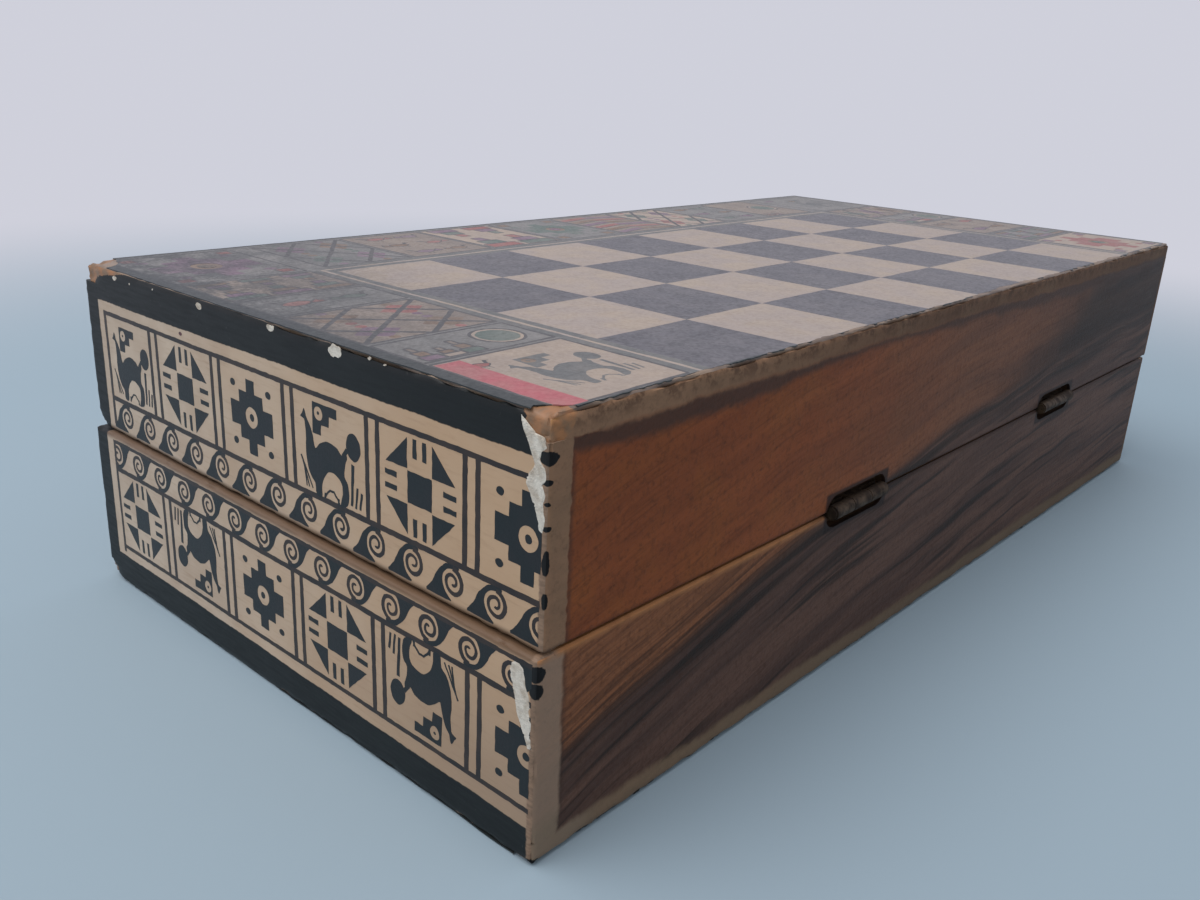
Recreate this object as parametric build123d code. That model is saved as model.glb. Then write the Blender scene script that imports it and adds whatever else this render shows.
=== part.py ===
from build123d import *
import math
import os

# A folding wooden chess box: two shallow trays hinged along one long side.
# Lengths are in millimetres. X runs along the box, -Y is the hinge side and Z is up.
# The lower tray stands on its board panel, with the middle of that face at the origin.

# Playing board. Each tray carries half of it, up to the hinge side.
board_square = 18.0
board_border = 28.0
squares_along = 8
squares_across = 4

# Tray shell
tray_height = 26.05
board_thickness = 3.0
facing_thickness = 2.7
long_rail_thickness = 6.5
end_rail_thickness = 5.0
lining_thickness = 1.0
lining_clearance = 0.3
corner_round = 0.8
face_round = 0.5
rim_ease = 0.3
rim_gap = 0.3
lid_shift = 0.8

# Barrel hinges, let into the rims
hinge_from_near_end = 65.5
hinge_from_far_end = 57.0
hinge_length = 14.6
middle_knuckle = 4.8
knuckle_gap = 0.15
barrel_radius = 1.1
axis_outset = 0.15
leaf_reach = 5.2
leaf_thickness = 0.8
leaf_clearance = 0.1
hinge_pin_radius = 0.55
hinge_pin_clearance = 0.04
hinge_pin_head_radius = 0.9
hinge_pin_head_length = 0.35
pocket_length = 17.0
pocket_height = 5.0
pocket_depth = 1.7

# Countersunk screws of the hinge leaves
hinge_screw_spacing = 9.0
hinge_screw_head_radius = 1.15
hinge_screw_head_height = 0.6
hinge_screw_radius = 0.6
hinge_screw_length = 6.0
screw_tip_length = 1.2
screw_clearance = 0.05
screw_slot_width = 0.3
screw_slot_depth = 0.3

# Hook catches on the side away from the hinges
catch_from_end = 46.0
catch_pivot_height = 7.0
hook_reach = 13.0
latch_angle = 40.0
hook_thickness = 0.8
hook_standoff = 0.4
hook_eye_radius = 2.3
hook_arm_width = 2.2
hook_web = 1.4
hook_tab_radius = 1.2
hook_slot_clearance = 0.3
hook_pivot_clearance = 0.05
hook_side_clearance = 0.1
catch_screw_radius = 0.8
catch_screw_head_radius = 1.9
catch_screw_head_height = 0.8
catch_collar_radius = 1.5
catch_screw_depth = 5.0
stud_radius = 0.7
stud_head_radius = 1.4
stud_head_height = 0.7
stud_head_clearance = 0.3
stud_depth = 4.5

# Chessmen, lying in the lower tray
king_height = 34.0
queen_height = 31.0
bishop_height = 27.5
knight_height = 24.0
rook_height = 21.0
pawn_height = 18.5
officer_base_radius = 5.4
officer_neck_radius = 2.1
officer_collar_radius = 3.6
pawn_base_radius = 4.7
pawn_neck_radius = 1.7
pawn_collar_radius = 2.9
foot_height = 1.6
foot_lip = 0.7
collar_height = 1.3
collar_gap = 0.5
flare_sag = 0.3
pawn_head_radius = 2.8
bishop_head_radius = 3.0
bishop_head_height = 8.5
bishop_slot_width = 0.7
bishop_slot_tilt = 35.0
finial_radius = 1.0
crown_radius = 3.7
crown_height = 7.5
crown_rim = 0.9
crown_dish_depth = 0.8
crown_notch_radius = 0.8
crown_notches = 8
crown_dome_height = 1.6
cross_height = 4.6
cross_width = 4.0
cross_bar = 1.5
rook_neck_radius = 3.0
rook_head_radius = 4.1
rook_head_height = 5.0
rook_wall = 1.3
rook_recess = 1.5
rook_notch_width = 1.6
knight_stem_height = 6.0
knight_thickness = 5.4
knight_ease = 0.6
lying_clearance = 0.1
row_clearance = 0.5

# Horse's head in profile: across from the middle of the piece, and up from its stem as a share
# of the head's height
horse_profile = [
    (-3.6, 0.0), (-4.1, 0.28), (-3.6, 0.62), (-2.3, 0.88), (-1.3, 1.0), (-0.7, 0.86),
    (1.2, 0.80), (3.9, 0.56), (4.2, 0.44), (3.2, 0.36), (1.3, 0.44), (1.7, 0.26), (3.4, 0.0),
]

# Sizes that follow from the ones above
tray_length = squares_along * board_square + 2 * board_border
tray_width = squares_across * board_square + board_border
parting_z = tray_height + rim_gap / 2
hinge_y = -tray_width / 2 - axis_outset
inner_length = tray_length - 2 * (facing_thickness + end_rail_thickness)
inner_width = tray_width - 2 * long_rail_thickness
floor_z = board_thickness + lining_thickness
bore_radius = hinge_pin_radius + hinge_pin_clearance
hook_slot_half = stud_radius + hook_slot_clearance
hook_tip_radius = hook_slot_half + hook_web
hinge_xs = [-tray_length / 2 + hinge_from_near_end, tray_length / 2 - hinge_from_far_end]
catch_xs = [-tray_length / 2 + catch_from_end, tray_length / 2 - catch_from_end]
catch_pivot_z = parting_z + catch_pivot_height
stud_drop = hook_reach * math.cos(math.radians(latch_angle))
stud_shift = hook_reach * math.sin(math.radians(latch_angle))
screw_y = -tray_width / 2 + (pocket_depth + leaf_reach) / 2


def slab(x0, x1, y0, y1, z0, z1):
    """A block between two opposite corners."""
    size = Box(x1 - x0, y1 - y0, z1 - z0)
    return Pos((x0 + x1) / 2, (y0 + y1) / 2, (z0 + z1) / 2) * size


def rod(radius, start, end, across):
    """A round bar along the direction named by the rotation, from start to end."""
    bar = Pos(0, 0, (start + end) / 2) * Cylinder(radius, end - start)
    return across * bar


along_x = Rot(0, 90, 0)
along_y = Rot(-90, 0, 0)


def turned(steps):
    """Revolve an outline of straight steps (r, z) and arcs (r, z through, then r, z)."""
    here = (0, 0)
    edges = []
    for step in steps:
        end = step[-2:]
        if len(step) == 4:
            edges.append(ThreePointArc(here, step[:2], end))
        else:
            edges.append(Line(here, end))
        here = end
    edges.append(Line(here, (0, 0)))
    return revolve(Plane.XZ * make_face(edges), Axis.Z)


def to_lid(shape):
    """Mirror a lower-tray shape over the parting plane and shift it as the lid sits."""
    return Pos(lid_shift, 0, 0) * mirror(shape, Plane.XY.offset(parting_z))


def tray_envelope():
    """Outer form of one tray, with its eased corners and edges."""
    block = slab(-tray_length / 2, tray_length / 2, -tray_width / 2, tray_width / 2, 0, tray_height)
    block = fillet(block.edges().filter_by(Axis.Z), corner_round)
    block = fillet(block.faces().sort_by(Axis.Z)[0].edges(), face_round)
    return chamfer(block.faces().sort_by(Axis.Z)[-1].edges(), rim_ease)


def board_panel(envelope):
    half = tray_length / 2
    panel = slab(-half, half, -tray_width / 2, tray_width / 2, 0, board_thickness)
    return envelope & panel


def end_facing(envelope, side):
    """The printed board over one end of a tray."""
    outer = side * tray_length / 2
    inner = outer - side * facing_thickness
    facing = slab(
        min(outer, inner), max(outer, inner),
        -tray_width / 2, tray_width / 2, board_thickness, tray_height,
    )
    return envelope & facing


def end_rail(side):
    outer = side * (tray_length / 2 - facing_thickness)
    inner = outer - side * end_rail_thickness
    return slab(
        min(outer, inner), max(outer, inner),
        -inner_width / 2, inner_width / 2, board_thickness, tray_height,
    )


def long_rail(envelope, side):
    half = tray_length / 2 - facing_thickness
    outer = side * tray_width / 2
    inner = side * inner_width / 2
    rail = slab(-half, half, min(outer, inner), max(outer, inner), board_thickness, tray_height)
    return envelope & rail


def hinge_recess(x):
    """Pocket round the barrel, mortise for the leaf and pilot holes, in the lower tray."""
    face = -tray_width / 2
    slot = Rot(90, 0, 0) * extrude(SlotOverall(pocket_length, pocket_height), pocket_depth, both=True)
    recess = Pos(x, face, parting_z) * slot
    half = hinge_length / 2 + leaf_clearance
    seat = tray_height - leaf_thickness
    recess += slab(x - half, x + half, face, face + leaf_reach + leaf_clearance, seat, parting_z)
    for screw_x in hinge_screw_xs(x):
        hole = rod(hinge_screw_radius + screw_clearance, -hinge_screw_length - screw_clearance, 0, Rot())
        recess += Pos(screw_x, screw_y, tray_height) * hole
    return recess


def hinge_screw_xs(x):
    return [x - hinge_screw_spacing / 2, x + hinge_screw_spacing / 2]


def hinge_rail(envelope, shift):
    rail = long_rail(envelope, -1)
    for x in hinge_xs:
        rail -= hinge_recess(x - shift)
    return rail


def catch_rail(envelope, hole_xs, hole_z, radius, depth):
    """Rail on the side away from the hinges, bored for the catch's screws or studs."""
    rail = long_rail(envelope, 1)
    for x in hole_xs:
        hole = rod(radius + screw_clearance, -depth - screw_clearance, 0, along_y)
        rail -= Pos(x, tray_width / 2, hole_z) * hole
    return rail


def lining():
    half_length = inner_length / 2 - lining_clearance
    half_width = inner_width / 2 - lining_clearance
    return slab(-half_length, half_length, -half_width, half_width, board_thickness, floor_z)


def tray(shift, hole_xs, hole_z, radius, depth):
    """The eight wooden pieces and lining of one tray, in the lower tray's place."""
    envelope = tray_envelope()
    return {
        "board_panel": board_panel(envelope),
        "hinge_rail": hinge_rail(envelope, shift),
        "catch_rail": catch_rail(envelope, hole_xs, hole_z, radius, depth),
        "near_end_rail": end_rail(-1),
        "far_end_rail": end_rail(1),
        "near_end_facing": end_facing(envelope, -1),
        "far_end_facing": end_facing(envelope, 1),
        "lining": lining(),
    }


def countersunk_screw():
    """Screw with its flat head's top at the origin, pointing down."""
    screw = turned([
        (hinge_screw_head_radius, 0),
        (hinge_screw_radius, -hinge_screw_head_height),
        (hinge_screw_radius, -hinge_screw_length + screw_tip_length),
        (0, -hinge_screw_length),
    ])
    slot = Box(2 * hinge_screw_head_radius, screw_slot_width, 2 * screw_slot_depth)
    return screw - slot


def countersunk_hole():
    """Hole for that screw's head through a leaf."""
    wide = hinge_screw_head_radius + screw_clearance
    narrow = hinge_screw_radius + screw_clearance
    return turned([
        (0, rim_gap),
        (wide, rim_gap),
        (wide, 0),
        (narrow, -hinge_screw_head_height),
        (narrow, -leaf_thickness - rim_gap),
        (0, -leaf_thickness - rim_gap),
    ])


def knuckle_spans():
    """Stretches of the barrel: outer ones on the lower leaf, the middle one on the upper."""
    half = hinge_length / 2
    middle = middle_knuckle / 2
    lower = [(-half, -middle - knuckle_gap), (middle + knuckle_gap, half)]
    return lower, [(-middle, middle)]


def hinge_leaf(spans):
    """A lower leaf with knuckles over the given stretches; its pin's axis is at the origin."""
    top = -rim_gap / 2
    bottom = top - leaf_thickness
    root = barrel_radius + knuckle_gap
    half = hinge_length / 2
    leaf = slab(-half, half, root, axis_outset + leaf_reach, bottom, top)
    for start, end in spans:
        knuckle = rod(barrel_radius, start, end, along_x) - rod(bore_radius, start, end, along_x)
        leaf += knuckle + slab(start, end, bore_radius, root, bottom, top)
    for x in hinge_screw_xs(0):
        leaf -= Pos(x, screw_y - hinge_y, top) * countersunk_hole()
    return leaf


def hinge_pin():
    """Pin through the knuckles, with a head peened over each end."""
    half = hinge_length / 2
    pin = rod(hinge_pin_radius, -half, half, along_x)
    for start in (-half - hinge_pin_head_length, half):
        pin += rod(hinge_pin_head_radius, start, start + hinge_pin_head_length, along_x)
    return pin


def hinge_parts(x):
    lower_spans, upper_spans = knuckle_spans()
    place = Pos(x, hinge_y, parting_z)
    upper = mirror(hinge_leaf(upper_spans), Plane.XY)
    return place * hinge_leaf(lower_spans), place * upper, place * hinge_pin()


def hinge_screws():
    """All the lower leaves' screws."""
    xs = [screw_x for x in hinge_xs for screw_x in hinge_screw_xs(x)]
    return [Pos(x, screw_y, tray_height) * countersunk_screw() for x in xs]


def catch_hook():
    """Hook plate hanging from its eye at the origin, with its slot open towards -X."""
    near = hook_standoff
    far = near + hook_thickness
    tip = Pos(0, 0, -hook_reach)
    tab = Pos(0, 0, -hook_reach - hook_tip_radius)
    hook = rod(hook_eye_radius, near, far, along_y)
    hook += slab(-hook_arm_width / 2, hook_arm_width / 2, near, far, -hook_reach, 0)
    hook += tip * rod(hook_tip_radius, near, far, along_y)
    hook += tab * rod(hook_tab_radius, near, far, along_y)
    hook -= rod(catch_screw_radius + hook_pivot_clearance, near, far, along_y)
    track = rod(hook_reach + hook_slot_half, near, far, along_y)
    track -= rod(hook_reach - hook_slot_half, near, far, along_y)
    reach = 2 * hook_reach
    track &= slab(-reach, 0, near, far, -reach, 0)
    track &= tip * rod(hook_tip_radius + hook_slot_half, near, far, along_y)
    return hook - track - tip * rod(hook_slot_half, near, far, along_y)


def catch_screw():
    """Pivot screw of a hook, with a collar behind the plate and a domed, slotted head."""
    plate_back = hook_standoff - hook_side_clearance
    head_back = hook_standoff + hook_thickness + hook_side_clearance
    head_front = head_back + catch_screw_head_height
    screw = turned([
        (0, -catch_screw_depth),
        (catch_screw_radius, -catch_screw_depth + screw_tip_length),
        (catch_screw_radius, 0),
        (catch_collar_radius, 0),
        (catch_collar_radius, plate_back),
        (catch_screw_radius, plate_back),
        (catch_screw_radius, head_back),
        (catch_screw_head_radius, head_back),
        (catch_screw_head_radius, (head_back + head_front) / 2),
        (catch_screw_radius, head_front),
        (0, head_front),
    ])
    slot = Pos(0, 0, head_front) * Box(2 * catch_screw_head_radius, screw_slot_width, 2 * screw_slot_depth)
    return along_y * (screw - slot)


def catch_stud():
    """Headed stud that a hook closes round."""
    head_back = hook_standoff + hook_thickness + stud_head_clearance
    stud = rod(stud_radius, -stud_depth, head_back, along_y)
    return stud + rod(stud_head_radius, head_back, head_back + stud_head_height, along_y)


def stem(base_radius, neck_radius, collar_radius, collar_top):
    """Outline from the foot up to the top of the collar."""
    foot_edge = base_radius - foot_lip
    collar_bottom = collar_top - collar_height
    bend_r = neck_radius + (foot_edge - neck_radius) * flare_sag
    bend_z = foot_height + (collar_bottom - foot_height) * flare_sag
    return [
        (base_radius, 0),
        (base_radius, foot_height),
        (foot_edge, foot_height + foot_lip),
        (bend_r, bend_z + foot_lip, neck_radius, collar_bottom),
        (collar_radius, collar_bottom + collar_height / 2, neck_radius, collar_top),
    ]


def officer_stem(collar_top):
    return stem(officer_base_radius, officer_neck_radius, officer_collar_radius, collar_top)


def pawn():
    centre = pawn_height - pawn_head_radius
    joint = centre - math.sqrt(pawn_head_radius**2 - pawn_neck_radius**2)
    outline = stem(pawn_base_radius, pawn_neck_radius, pawn_collar_radius, joint - collar_gap)
    outline += [(pawn_neck_radius, joint), (pawn_head_radius, centre, 0, pawn_height)]
    return turned(outline), [(0, centre, pawn_head_radius)]


def bishop():
    ball = bishop_height - finial_radius
    joint = finial_radius * math.sqrt(0.5)
    head_top = ball - joint
    head_bottom = head_top - bishop_head_height
    widest = head_bottom + bishop_head_height / 2
    outline = officer_stem(head_bottom - collar_gap)
    outline += [
        (officer_neck_radius, head_bottom),
        (bishop_head_radius, widest, joint, head_top),
        (finial_radius, ball, 0, bishop_height),
    ]
    cut = Box(2 * bishop_head_radius, 4 * bishop_head_radius, bishop_slot_width)
    place = Pos(bishop_head_radius, 0, head_top - bishop_head_radius)
    mitre = turned(outline) - place * Rot(0, -bishop_slot_tilt, 0) * cut
    return mitre, [(bishop_head_radius, widest, 0), (0, ball, finial_radius)]


def crown_outline(crown_top):
    """Stem and flared crown of a king or queen, up to the crown's rim."""
    crown_bottom = crown_top - crown_height
    outline = officer_stem(crown_bottom - collar_gap)
    bend_r = officer_neck_radius + (crown_radius - officer_neck_radius) * flare_sag
    return outline + [
        (officer_neck_radius, crown_bottom),
        (bend_r, crown_top - crown_height / 2, crown_radius, crown_top),
    ]


def queen():
    ball = queen_height - finial_radius
    crown_top = ball
    outline = crown_outline(crown_top) + [
        (crown_radius - crown_rim, crown_top),
        (finial_radius, crown_top - crown_dish_depth),
        (finial_radius, ball),
        (finial_radius * math.sqrt(0.5), ball + finial_radius * math.sqrt(0.5), 0, queen_height),
    ]
    piece = turned(outline)
    for place in PolarLocations(crown_radius, crown_notches):
        piece -= Pos(0, 0, crown_top) * place * Sphere(crown_notch_radius)
    return piece, [(crown_radius, crown_top, 0)]


def king():
    crown_top = king_height - cross_height - crown_dome_height
    outline = crown_outline(crown_top) + [
        (crown_radius - crown_rim, crown_top),
        (cross_bar, crown_top + crown_dome_height),
        (0, crown_top + crown_dome_height),
    ]
    piece = turned(outline)
    cross_z = king_height - cross_height / 2
    piece += Pos(0, 0, cross_z - crown_dome_height / 2) * Box(
        cross_bar, cross_bar, cross_height + crown_dome_height
    )
    piece += Pos(0, 0, cross_z) * Box(cross_width, cross_bar, cross_bar)
    return piece, [(crown_radius, crown_top, 0), (cross_bar / 2, king_height, 0)]


def rook():
    head_bottom = rook_height - rook_head_height
    collar_top = head_bottom - collar_gap
    outline = stem(officer_base_radius, rook_neck_radius, rook_head_radius, collar_top)
    hollow = rook_head_radius - rook_wall
    outline += [
        (rook_neck_radius, head_bottom),
        (rook_head_radius, head_bottom + collar_height),
        (rook_head_radius, rook_height),
        (hollow, rook_height),
        (hollow, rook_height - rook_recess),
        (0, rook_height - rook_recess),
    ]
    piece = turned(outline)
    for angle in (0, 90):
        notch = Box(4 * rook_head_radius, rook_notch_width, 2 * rook_recess)
        piece -= Pos(0, 0, rook_height) * Rot(0, 0, angle) * notch
    return piece, [(rook_head_radius, rook_height, 0)]


def knight():
    head_height = knight_height - knight_stem_height
    outline = stem(
        officer_base_radius, officer_collar_radius, officer_collar_radius + foot_lip, knight_stem_height
    )
    outline.append((0, knight_stem_height))
    points = [(x, knight_stem_height + share * head_height) for x, share in horse_profile]
    face = Plane.XZ * make_face(Polyline(points, close=True))
    head = extrude(face, knight_thickness / 2, both=True)
    sides = head.faces().filter_by(Axis.Y)
    head = chamfer(sides.edges(), knight_ease)
    return turned(outline) + head, [(knight_thickness / 2, knight_height, 0)]


def lay_down(piece, supports, base_radius, x, side):
    """Lay a standing piece on the lining, head towards the middle of the box."""
    tilt = math.pi / 2
    for radius, height, ball in supports:
        rise = height - foot_height
        drop = base_radius - radius
        slope = math.atan2(drop, rise) - math.asin(ball / math.hypot(drop, rise))
        tilt = min(tilt, slope)
    lift = foot_height * math.sin(tilt) + base_radius * math.cos(tilt)
    base_y = inner_width / 2 - row_clearance - base_radius * math.sin(tilt)
    turn = Rot(side * (90 + math.degrees(tilt)), 0, 0)
    return Pos(x, side * base_y, floor_z + lying_clearance + lift) * turn * piece


back_row = [
    ("queens_rook", rook), ("queens_knight", knight), ("queens_bishop", bishop), ("queen", queen),
    ("king", king), ("kings_bishop", bishop), ("kings_knight", knight), ("kings_rook", rook),
]


def chessmen():
    """Both colours' pieces in two rows: officers by the catch side, pawns by the hinge side.

    The rows keep to the length that both trays' ends leave free, so a piece clears the lid too.
    """
    colours = ("light", "dark")
    pitch = (inner_length - lid_shift) / (len(colours) * len(back_row))
    men = {}
    for number, colour in enumerate(colours):
        for place, (name, make) in enumerate(back_row):
            x = -inner_length / 2 + lid_shift + pitch * (number * len(back_row) + place + 1 / 2)
            men[f"{colour}_{name}"] = lay_down(*make(), officer_base_radius, x, 1)
            men[f"{colour}_pawn_{'abcdefgh'[place]}"] = lay_down(*pawn(), pawn_base_radius, x, -1)
    return men


def build():
    stud_xs = [x - stud_shift for x in catch_xs]
    stud_z = catch_pivot_z - stud_drop
    pivot_xs = [x - lid_shift for x in catch_xs]
    lower = tray(0, stud_xs, stud_z, stud_radius, stud_depth)
    upper = tray(
        lid_shift, pivot_xs, 2 * parting_z - catch_pivot_z, catch_screw_radius, catch_screw_depth
    )
    nodes = {f"lower_{name}": shape for name, shape in lower.items()}
    nodes.update({f"upper_{name}": to_lid(shape) for name, shape in upper.items()})
    face = tray_width / 2
    for name, hinge_x, catch_x in zip(("near", "far"), hinge_xs, catch_xs):
        lower_leaf, upper_leaf, pin = hinge_parts(hinge_x)
        nodes[f"{name}_hinge_lower_leaf"] = lower_leaf
        nodes[f"{name}_hinge_upper_leaf"] = upper_leaf
        nodes[f"{name}_hinge_pin"] = pin
        nodes[f"{name}_catch_hook"] = Pos(catch_x, face, catch_pivot_z) * catch_hook()
    screws = hinge_screws()
    nodes["lower_hinge_screws"] = Compound(screws)
    nodes["upper_hinge_screws"] = Compound([mirror(s, Plane.XY.offset(parting_z)) for s in screws])
    nodes["catch_pivot_screws"] = Compound([Pos(x, face, catch_pivot_z) * catch_screw() for x in catch_xs])
    nodes["catch_studs"] = Compound([Pos(x, face, stud_z) * catch_stud() for x in stud_xs])
    nodes.update(chessmen())
    return nodes


os.makedirs("parts", exist_ok=True)
for name, shape in build().items():
    export_step(shape, f"parts/{name}.step")
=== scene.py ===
import bpy
import math
from mathutils import Matrix, Vector, noise
from mathutils.geometry import delaunay_2d_cdt


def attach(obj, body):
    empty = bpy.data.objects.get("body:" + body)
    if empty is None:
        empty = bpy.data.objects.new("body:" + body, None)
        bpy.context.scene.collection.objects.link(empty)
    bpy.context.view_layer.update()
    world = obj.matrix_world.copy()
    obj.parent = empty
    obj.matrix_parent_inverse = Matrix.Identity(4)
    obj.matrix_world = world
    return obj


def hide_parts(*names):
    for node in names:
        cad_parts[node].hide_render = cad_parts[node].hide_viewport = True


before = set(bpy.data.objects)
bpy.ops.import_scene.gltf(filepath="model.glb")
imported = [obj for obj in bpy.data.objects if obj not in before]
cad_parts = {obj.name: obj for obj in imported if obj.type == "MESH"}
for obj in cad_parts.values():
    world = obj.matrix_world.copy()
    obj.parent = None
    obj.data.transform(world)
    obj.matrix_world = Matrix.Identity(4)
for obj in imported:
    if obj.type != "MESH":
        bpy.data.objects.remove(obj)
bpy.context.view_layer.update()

# Sizes are in millimetres of the CAD frame and become metres where a mesh is made.
MM = 0.001
LENGTH, WIDTH = 200.0, 100.0
TRAY_HEIGHT = 26.05
TOTAL_HEIGHT = 52.4
PARTING = TOTAL_HEIGHT / 2
PANEL = 3.0
FACING = 2.7
LID_SHIFT = 0.8
HINGE_PLACES = (-34.5, 43.0)
SHIFTS = {"lower": 0.0, "upper": LID_SHIFT}

# The worn wood lies back by the recess, and the prints reach from inside it to just above it
RECESS = 0.07
PRINT_TOP = 0.02
PRINT_BASE = 0.12

SQUARE = 18.0
SQUARES_ALONG, SQUARES_ACROSS = 8, 4
BOARD_START = 26.5

# Height in the box, reach across and reach up of each blot on the near corner
CORNER_BLOTS = (
    (47.8, 1.15, 0.75), (45.3, 0.55, 0.36), (43.0, 0.38, 0.26), (40.4, 0.48, 0.34), (36.6, 0.42, 1.6),
    (32.4, 0.34, 1.0), (24.2, 1.1, 1.0), (22.2, 0.9, 0.95), (0.0, 1.3, 0.9),
)


def srgb(red, green, blue):
    """Linear colour from screen values of 0 to 255."""
    return tuple((c / 255) ** 2.2 for c in (red, green, blue))


# Materials

class Value:
    """A number that varies over a surface, made by the nodes of one paint."""

    def __init__(self, paint, socket):
        self.paint = paint
        self.socket = socket

    def calc(self, operation, *others):
        node = self.paint.node("ShaderNodeMath", operation=operation)
        self.paint.feed_all(node, (self, *others))
        return Value(self.paint, node.outputs[0])

    def __add__(self, other):
        return self.calc("ADD", other)

    def __sub__(self, other):
        return self.calc("SUBTRACT", other)

    def __mul__(self, other):
        return self.calc("MULTIPLY", other)

    def __rsub__(self, other):
        return self.calc("MULTIPLY_ADD", -1.0, other)

    def __abs__(self):
        return self.calc("ABSOLUTE")

    def low(self, other):
        return self.calc("MINIMUM", other)

    def high(self, other):
        return self.calc("MAXIMUM", other)

    def sign(self):
        return self.calc("SIGN")

    def step(self, start, end, to_start=0.0, to_end=1.0):
        """Smooth change from one number to another as the value goes from start to end."""
        node = self.paint.node("ShaderNodeMapRange", interpolation_type="SMOOTHSTEP")
        self.paint.feed_all(node, (self, start, end, to_start, to_end))
        return Value(self.paint, node.outputs[0])


class Nodes:
    """The shader nodes of one material or world."""

    def __init__(self, owner):
        owner.use_nodes = True
        self.tree = owner.node_tree

    def node(self, kind, **settings):
        node = self.tree.nodes.new(kind)
        for key, value in settings.items():
            setattr(node, key, value)
        return node

    def feed(self, socket, item):
        if isinstance(item, Value):
            item = item.socket
        if isinstance(item, bpy.types.NodeSocket):
            self.tree.links.new(item, socket)
        elif socket.type == "RGBA":
            socket.default_value = (*item, 1.0)
        else:
            socket.default_value = item

    def feed_all(self, node, items):
        for slot, item in enumerate(items):
            self.feed(node.inputs[slot], item)

    def coloured(self, kind, colour):
        node = self.node(kind)
        self.feed(node.inputs["Color"], colour)
        return node

    def backdrop_seen(self):
        """1 for rays that meet the backdrop itself: from the camera, in gloss and through glass."""
        rays = self.node("ShaderNodeLightPath").outputs
        kinds = ("Is Camera Ray", "Is Glossy Ray", "Is Transmission Ray")
        camera, gloss, glass = (Value(self, rays[kind]) for kind in kinds)
        return camera.high(gloss).high(glass)

    def show(self, output, amount, first, second):
        """Send the output the first shader, or the second where the amount is 1."""
        node = self.node("ShaderNodeMixShader")
        self.feed_all(node, (amount, first.outputs[0], second.outputs[0]))
        self.feed(self.tree.nodes[output].inputs[0], node.outputs[0])


class Paint(Nodes):
    """A node material whose patterns lie in the shared frame, in millimetres."""

    def __init__(self, name):
        self.material = bpy.data.materials.new(name)
        super().__init__(self.material)
        self.shader = self.tree.nodes["Principled BSDF"]
        scale = self.node("ShaderNodeVectorMath", operation="SCALE")
        self.feed(scale.inputs[0], self.node("ShaderNodeTexCoord").outputs["Object"])
        self.feed(scale.inputs["Scale"], 1 / MM)
        self.place = scale.outputs[0]
        split = self.node("ShaderNodeSeparateXYZ")
        self.feed(split.inputs[0], self.place)
        self.x, self.y, self.z = (Value(self, out) for out in split.outputs)

    def vector(self, x, y, z):
        node = self.node("ShaderNodeCombineXYZ")
        self.feed_all(node, (x, y, z))
        return node.outputs[0]

    def noise(self, size, detail=2.0, stretch=None, roughness=0.5, distortion=0.0, seed=0.0):
        """Soft noise from 0 to 1 with features of that size; stretch gives its own vector."""
        node = self.node("ShaderNodeTexNoise", noise_dimensions="4D")
        settings = {
            "Vector": stretch or self.place, "W": seed, "Scale": 1 / size, "Detail": detail,
            "Roughness": roughness, "Distortion": distortion,
        }
        for name, item in settings.items():
            self.feed(node.inputs[name], item)
        return Value(self, node.outputs[0])

    def waver(self, reach, *noise_settings, **more):
        """Soft noise from -reach to reach."""
        return self.noise(*noise_settings, **more) * (2 * reach) - reach

    def attribute(self, name):
        node = self.node("ShaderNodeAttribute", attribute_name=name)
        return Value(self, node.outputs["Fac"])

    def mix(self, amount, first, second):
        node = self.node("ShaderNodeMix", data_type="RGBA")
        for slot, item in ((0, amount), (6, first), (7, second)):
            self.feed(node.inputs[slot], item)
        return node.outputs[2]

    def coated(self, colour, *coats):
        """The colour under coats of (amount, tone), laid on in turn."""
        for amount, tone in coats:
            colour = self.mix(amount, colour, tone)
        return colour

    def set(self, **sockets):
        """Put plain numbers on the shader's own sockets, named with underscores for spaces."""
        for name, number in sockets.items():
            self.shader.inputs[name.replace("_", " ")].default_value = number

    def finish(self, colour, roughness, height=None, depth=0.05, metallic=0.0, specular=0.4):
        """Give the shader its colour, roughness and a bump of that depth in millimetres."""
        self.feed(self.shader.inputs["Base Color"], colour)
        self.feed(self.shader.inputs["Roughness"], roughness)
        self.set(Metallic=metallic, Specular_IOR_Level=specular)
        if height is not None:
            bump = self.node("ShaderNodeBump")
            for name, item in (("Strength", 1.0), ("Distance", depth * MM), ("Height", height)):
                self.feed(bump.inputs[name], item)
            self.feed(self.shader.inputs["Normal"], bump.outputs[0])
        return self.material


class BoxPaint(Paint):
    """Paint that knows the lid from the lower tray, and its distance from panel and rim."""

    def __init__(self, name):
        super().__init__(name)
        self.lid = (self.z - PARTING).step(-0.05, 0.05)
        self.lower = 1.0 - self.lid
        self.from_panel = self.z.low(TOTAL_HEIGHT - self.z)
        self.from_rim = abs(self.z - PARTING)


def plain_wood(paint, pale, dark, along, pitch=1.6):
    """Straight-grained wood colour and its fibres, with the grain along one axis."""
    squeezed = (getattr(paint, axis) * (0.06 if axis == along else 1.0) for axis in "xyz")
    grain = paint.vector(*squeezed)
    rings = paint.noise(pitch * 2.2, 3, grain, distortion=0.6)
    fibre = paint.noise(pitch * 0.22, 3, grain, seed=3.0)
    patches = paint.noise(30.0, 2, seed=5.0)
    colour = paint.coated(
        pale,
        (rings.step(0.3, 0.72), dark),
        (fibre.step(0.5, 0.8) * 0.35, tuple(c * 0.5 for c in dark)),
        (patches.step(0.35, 0.75) * 0.3, pale),
    )
    return colour, fibre


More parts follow.
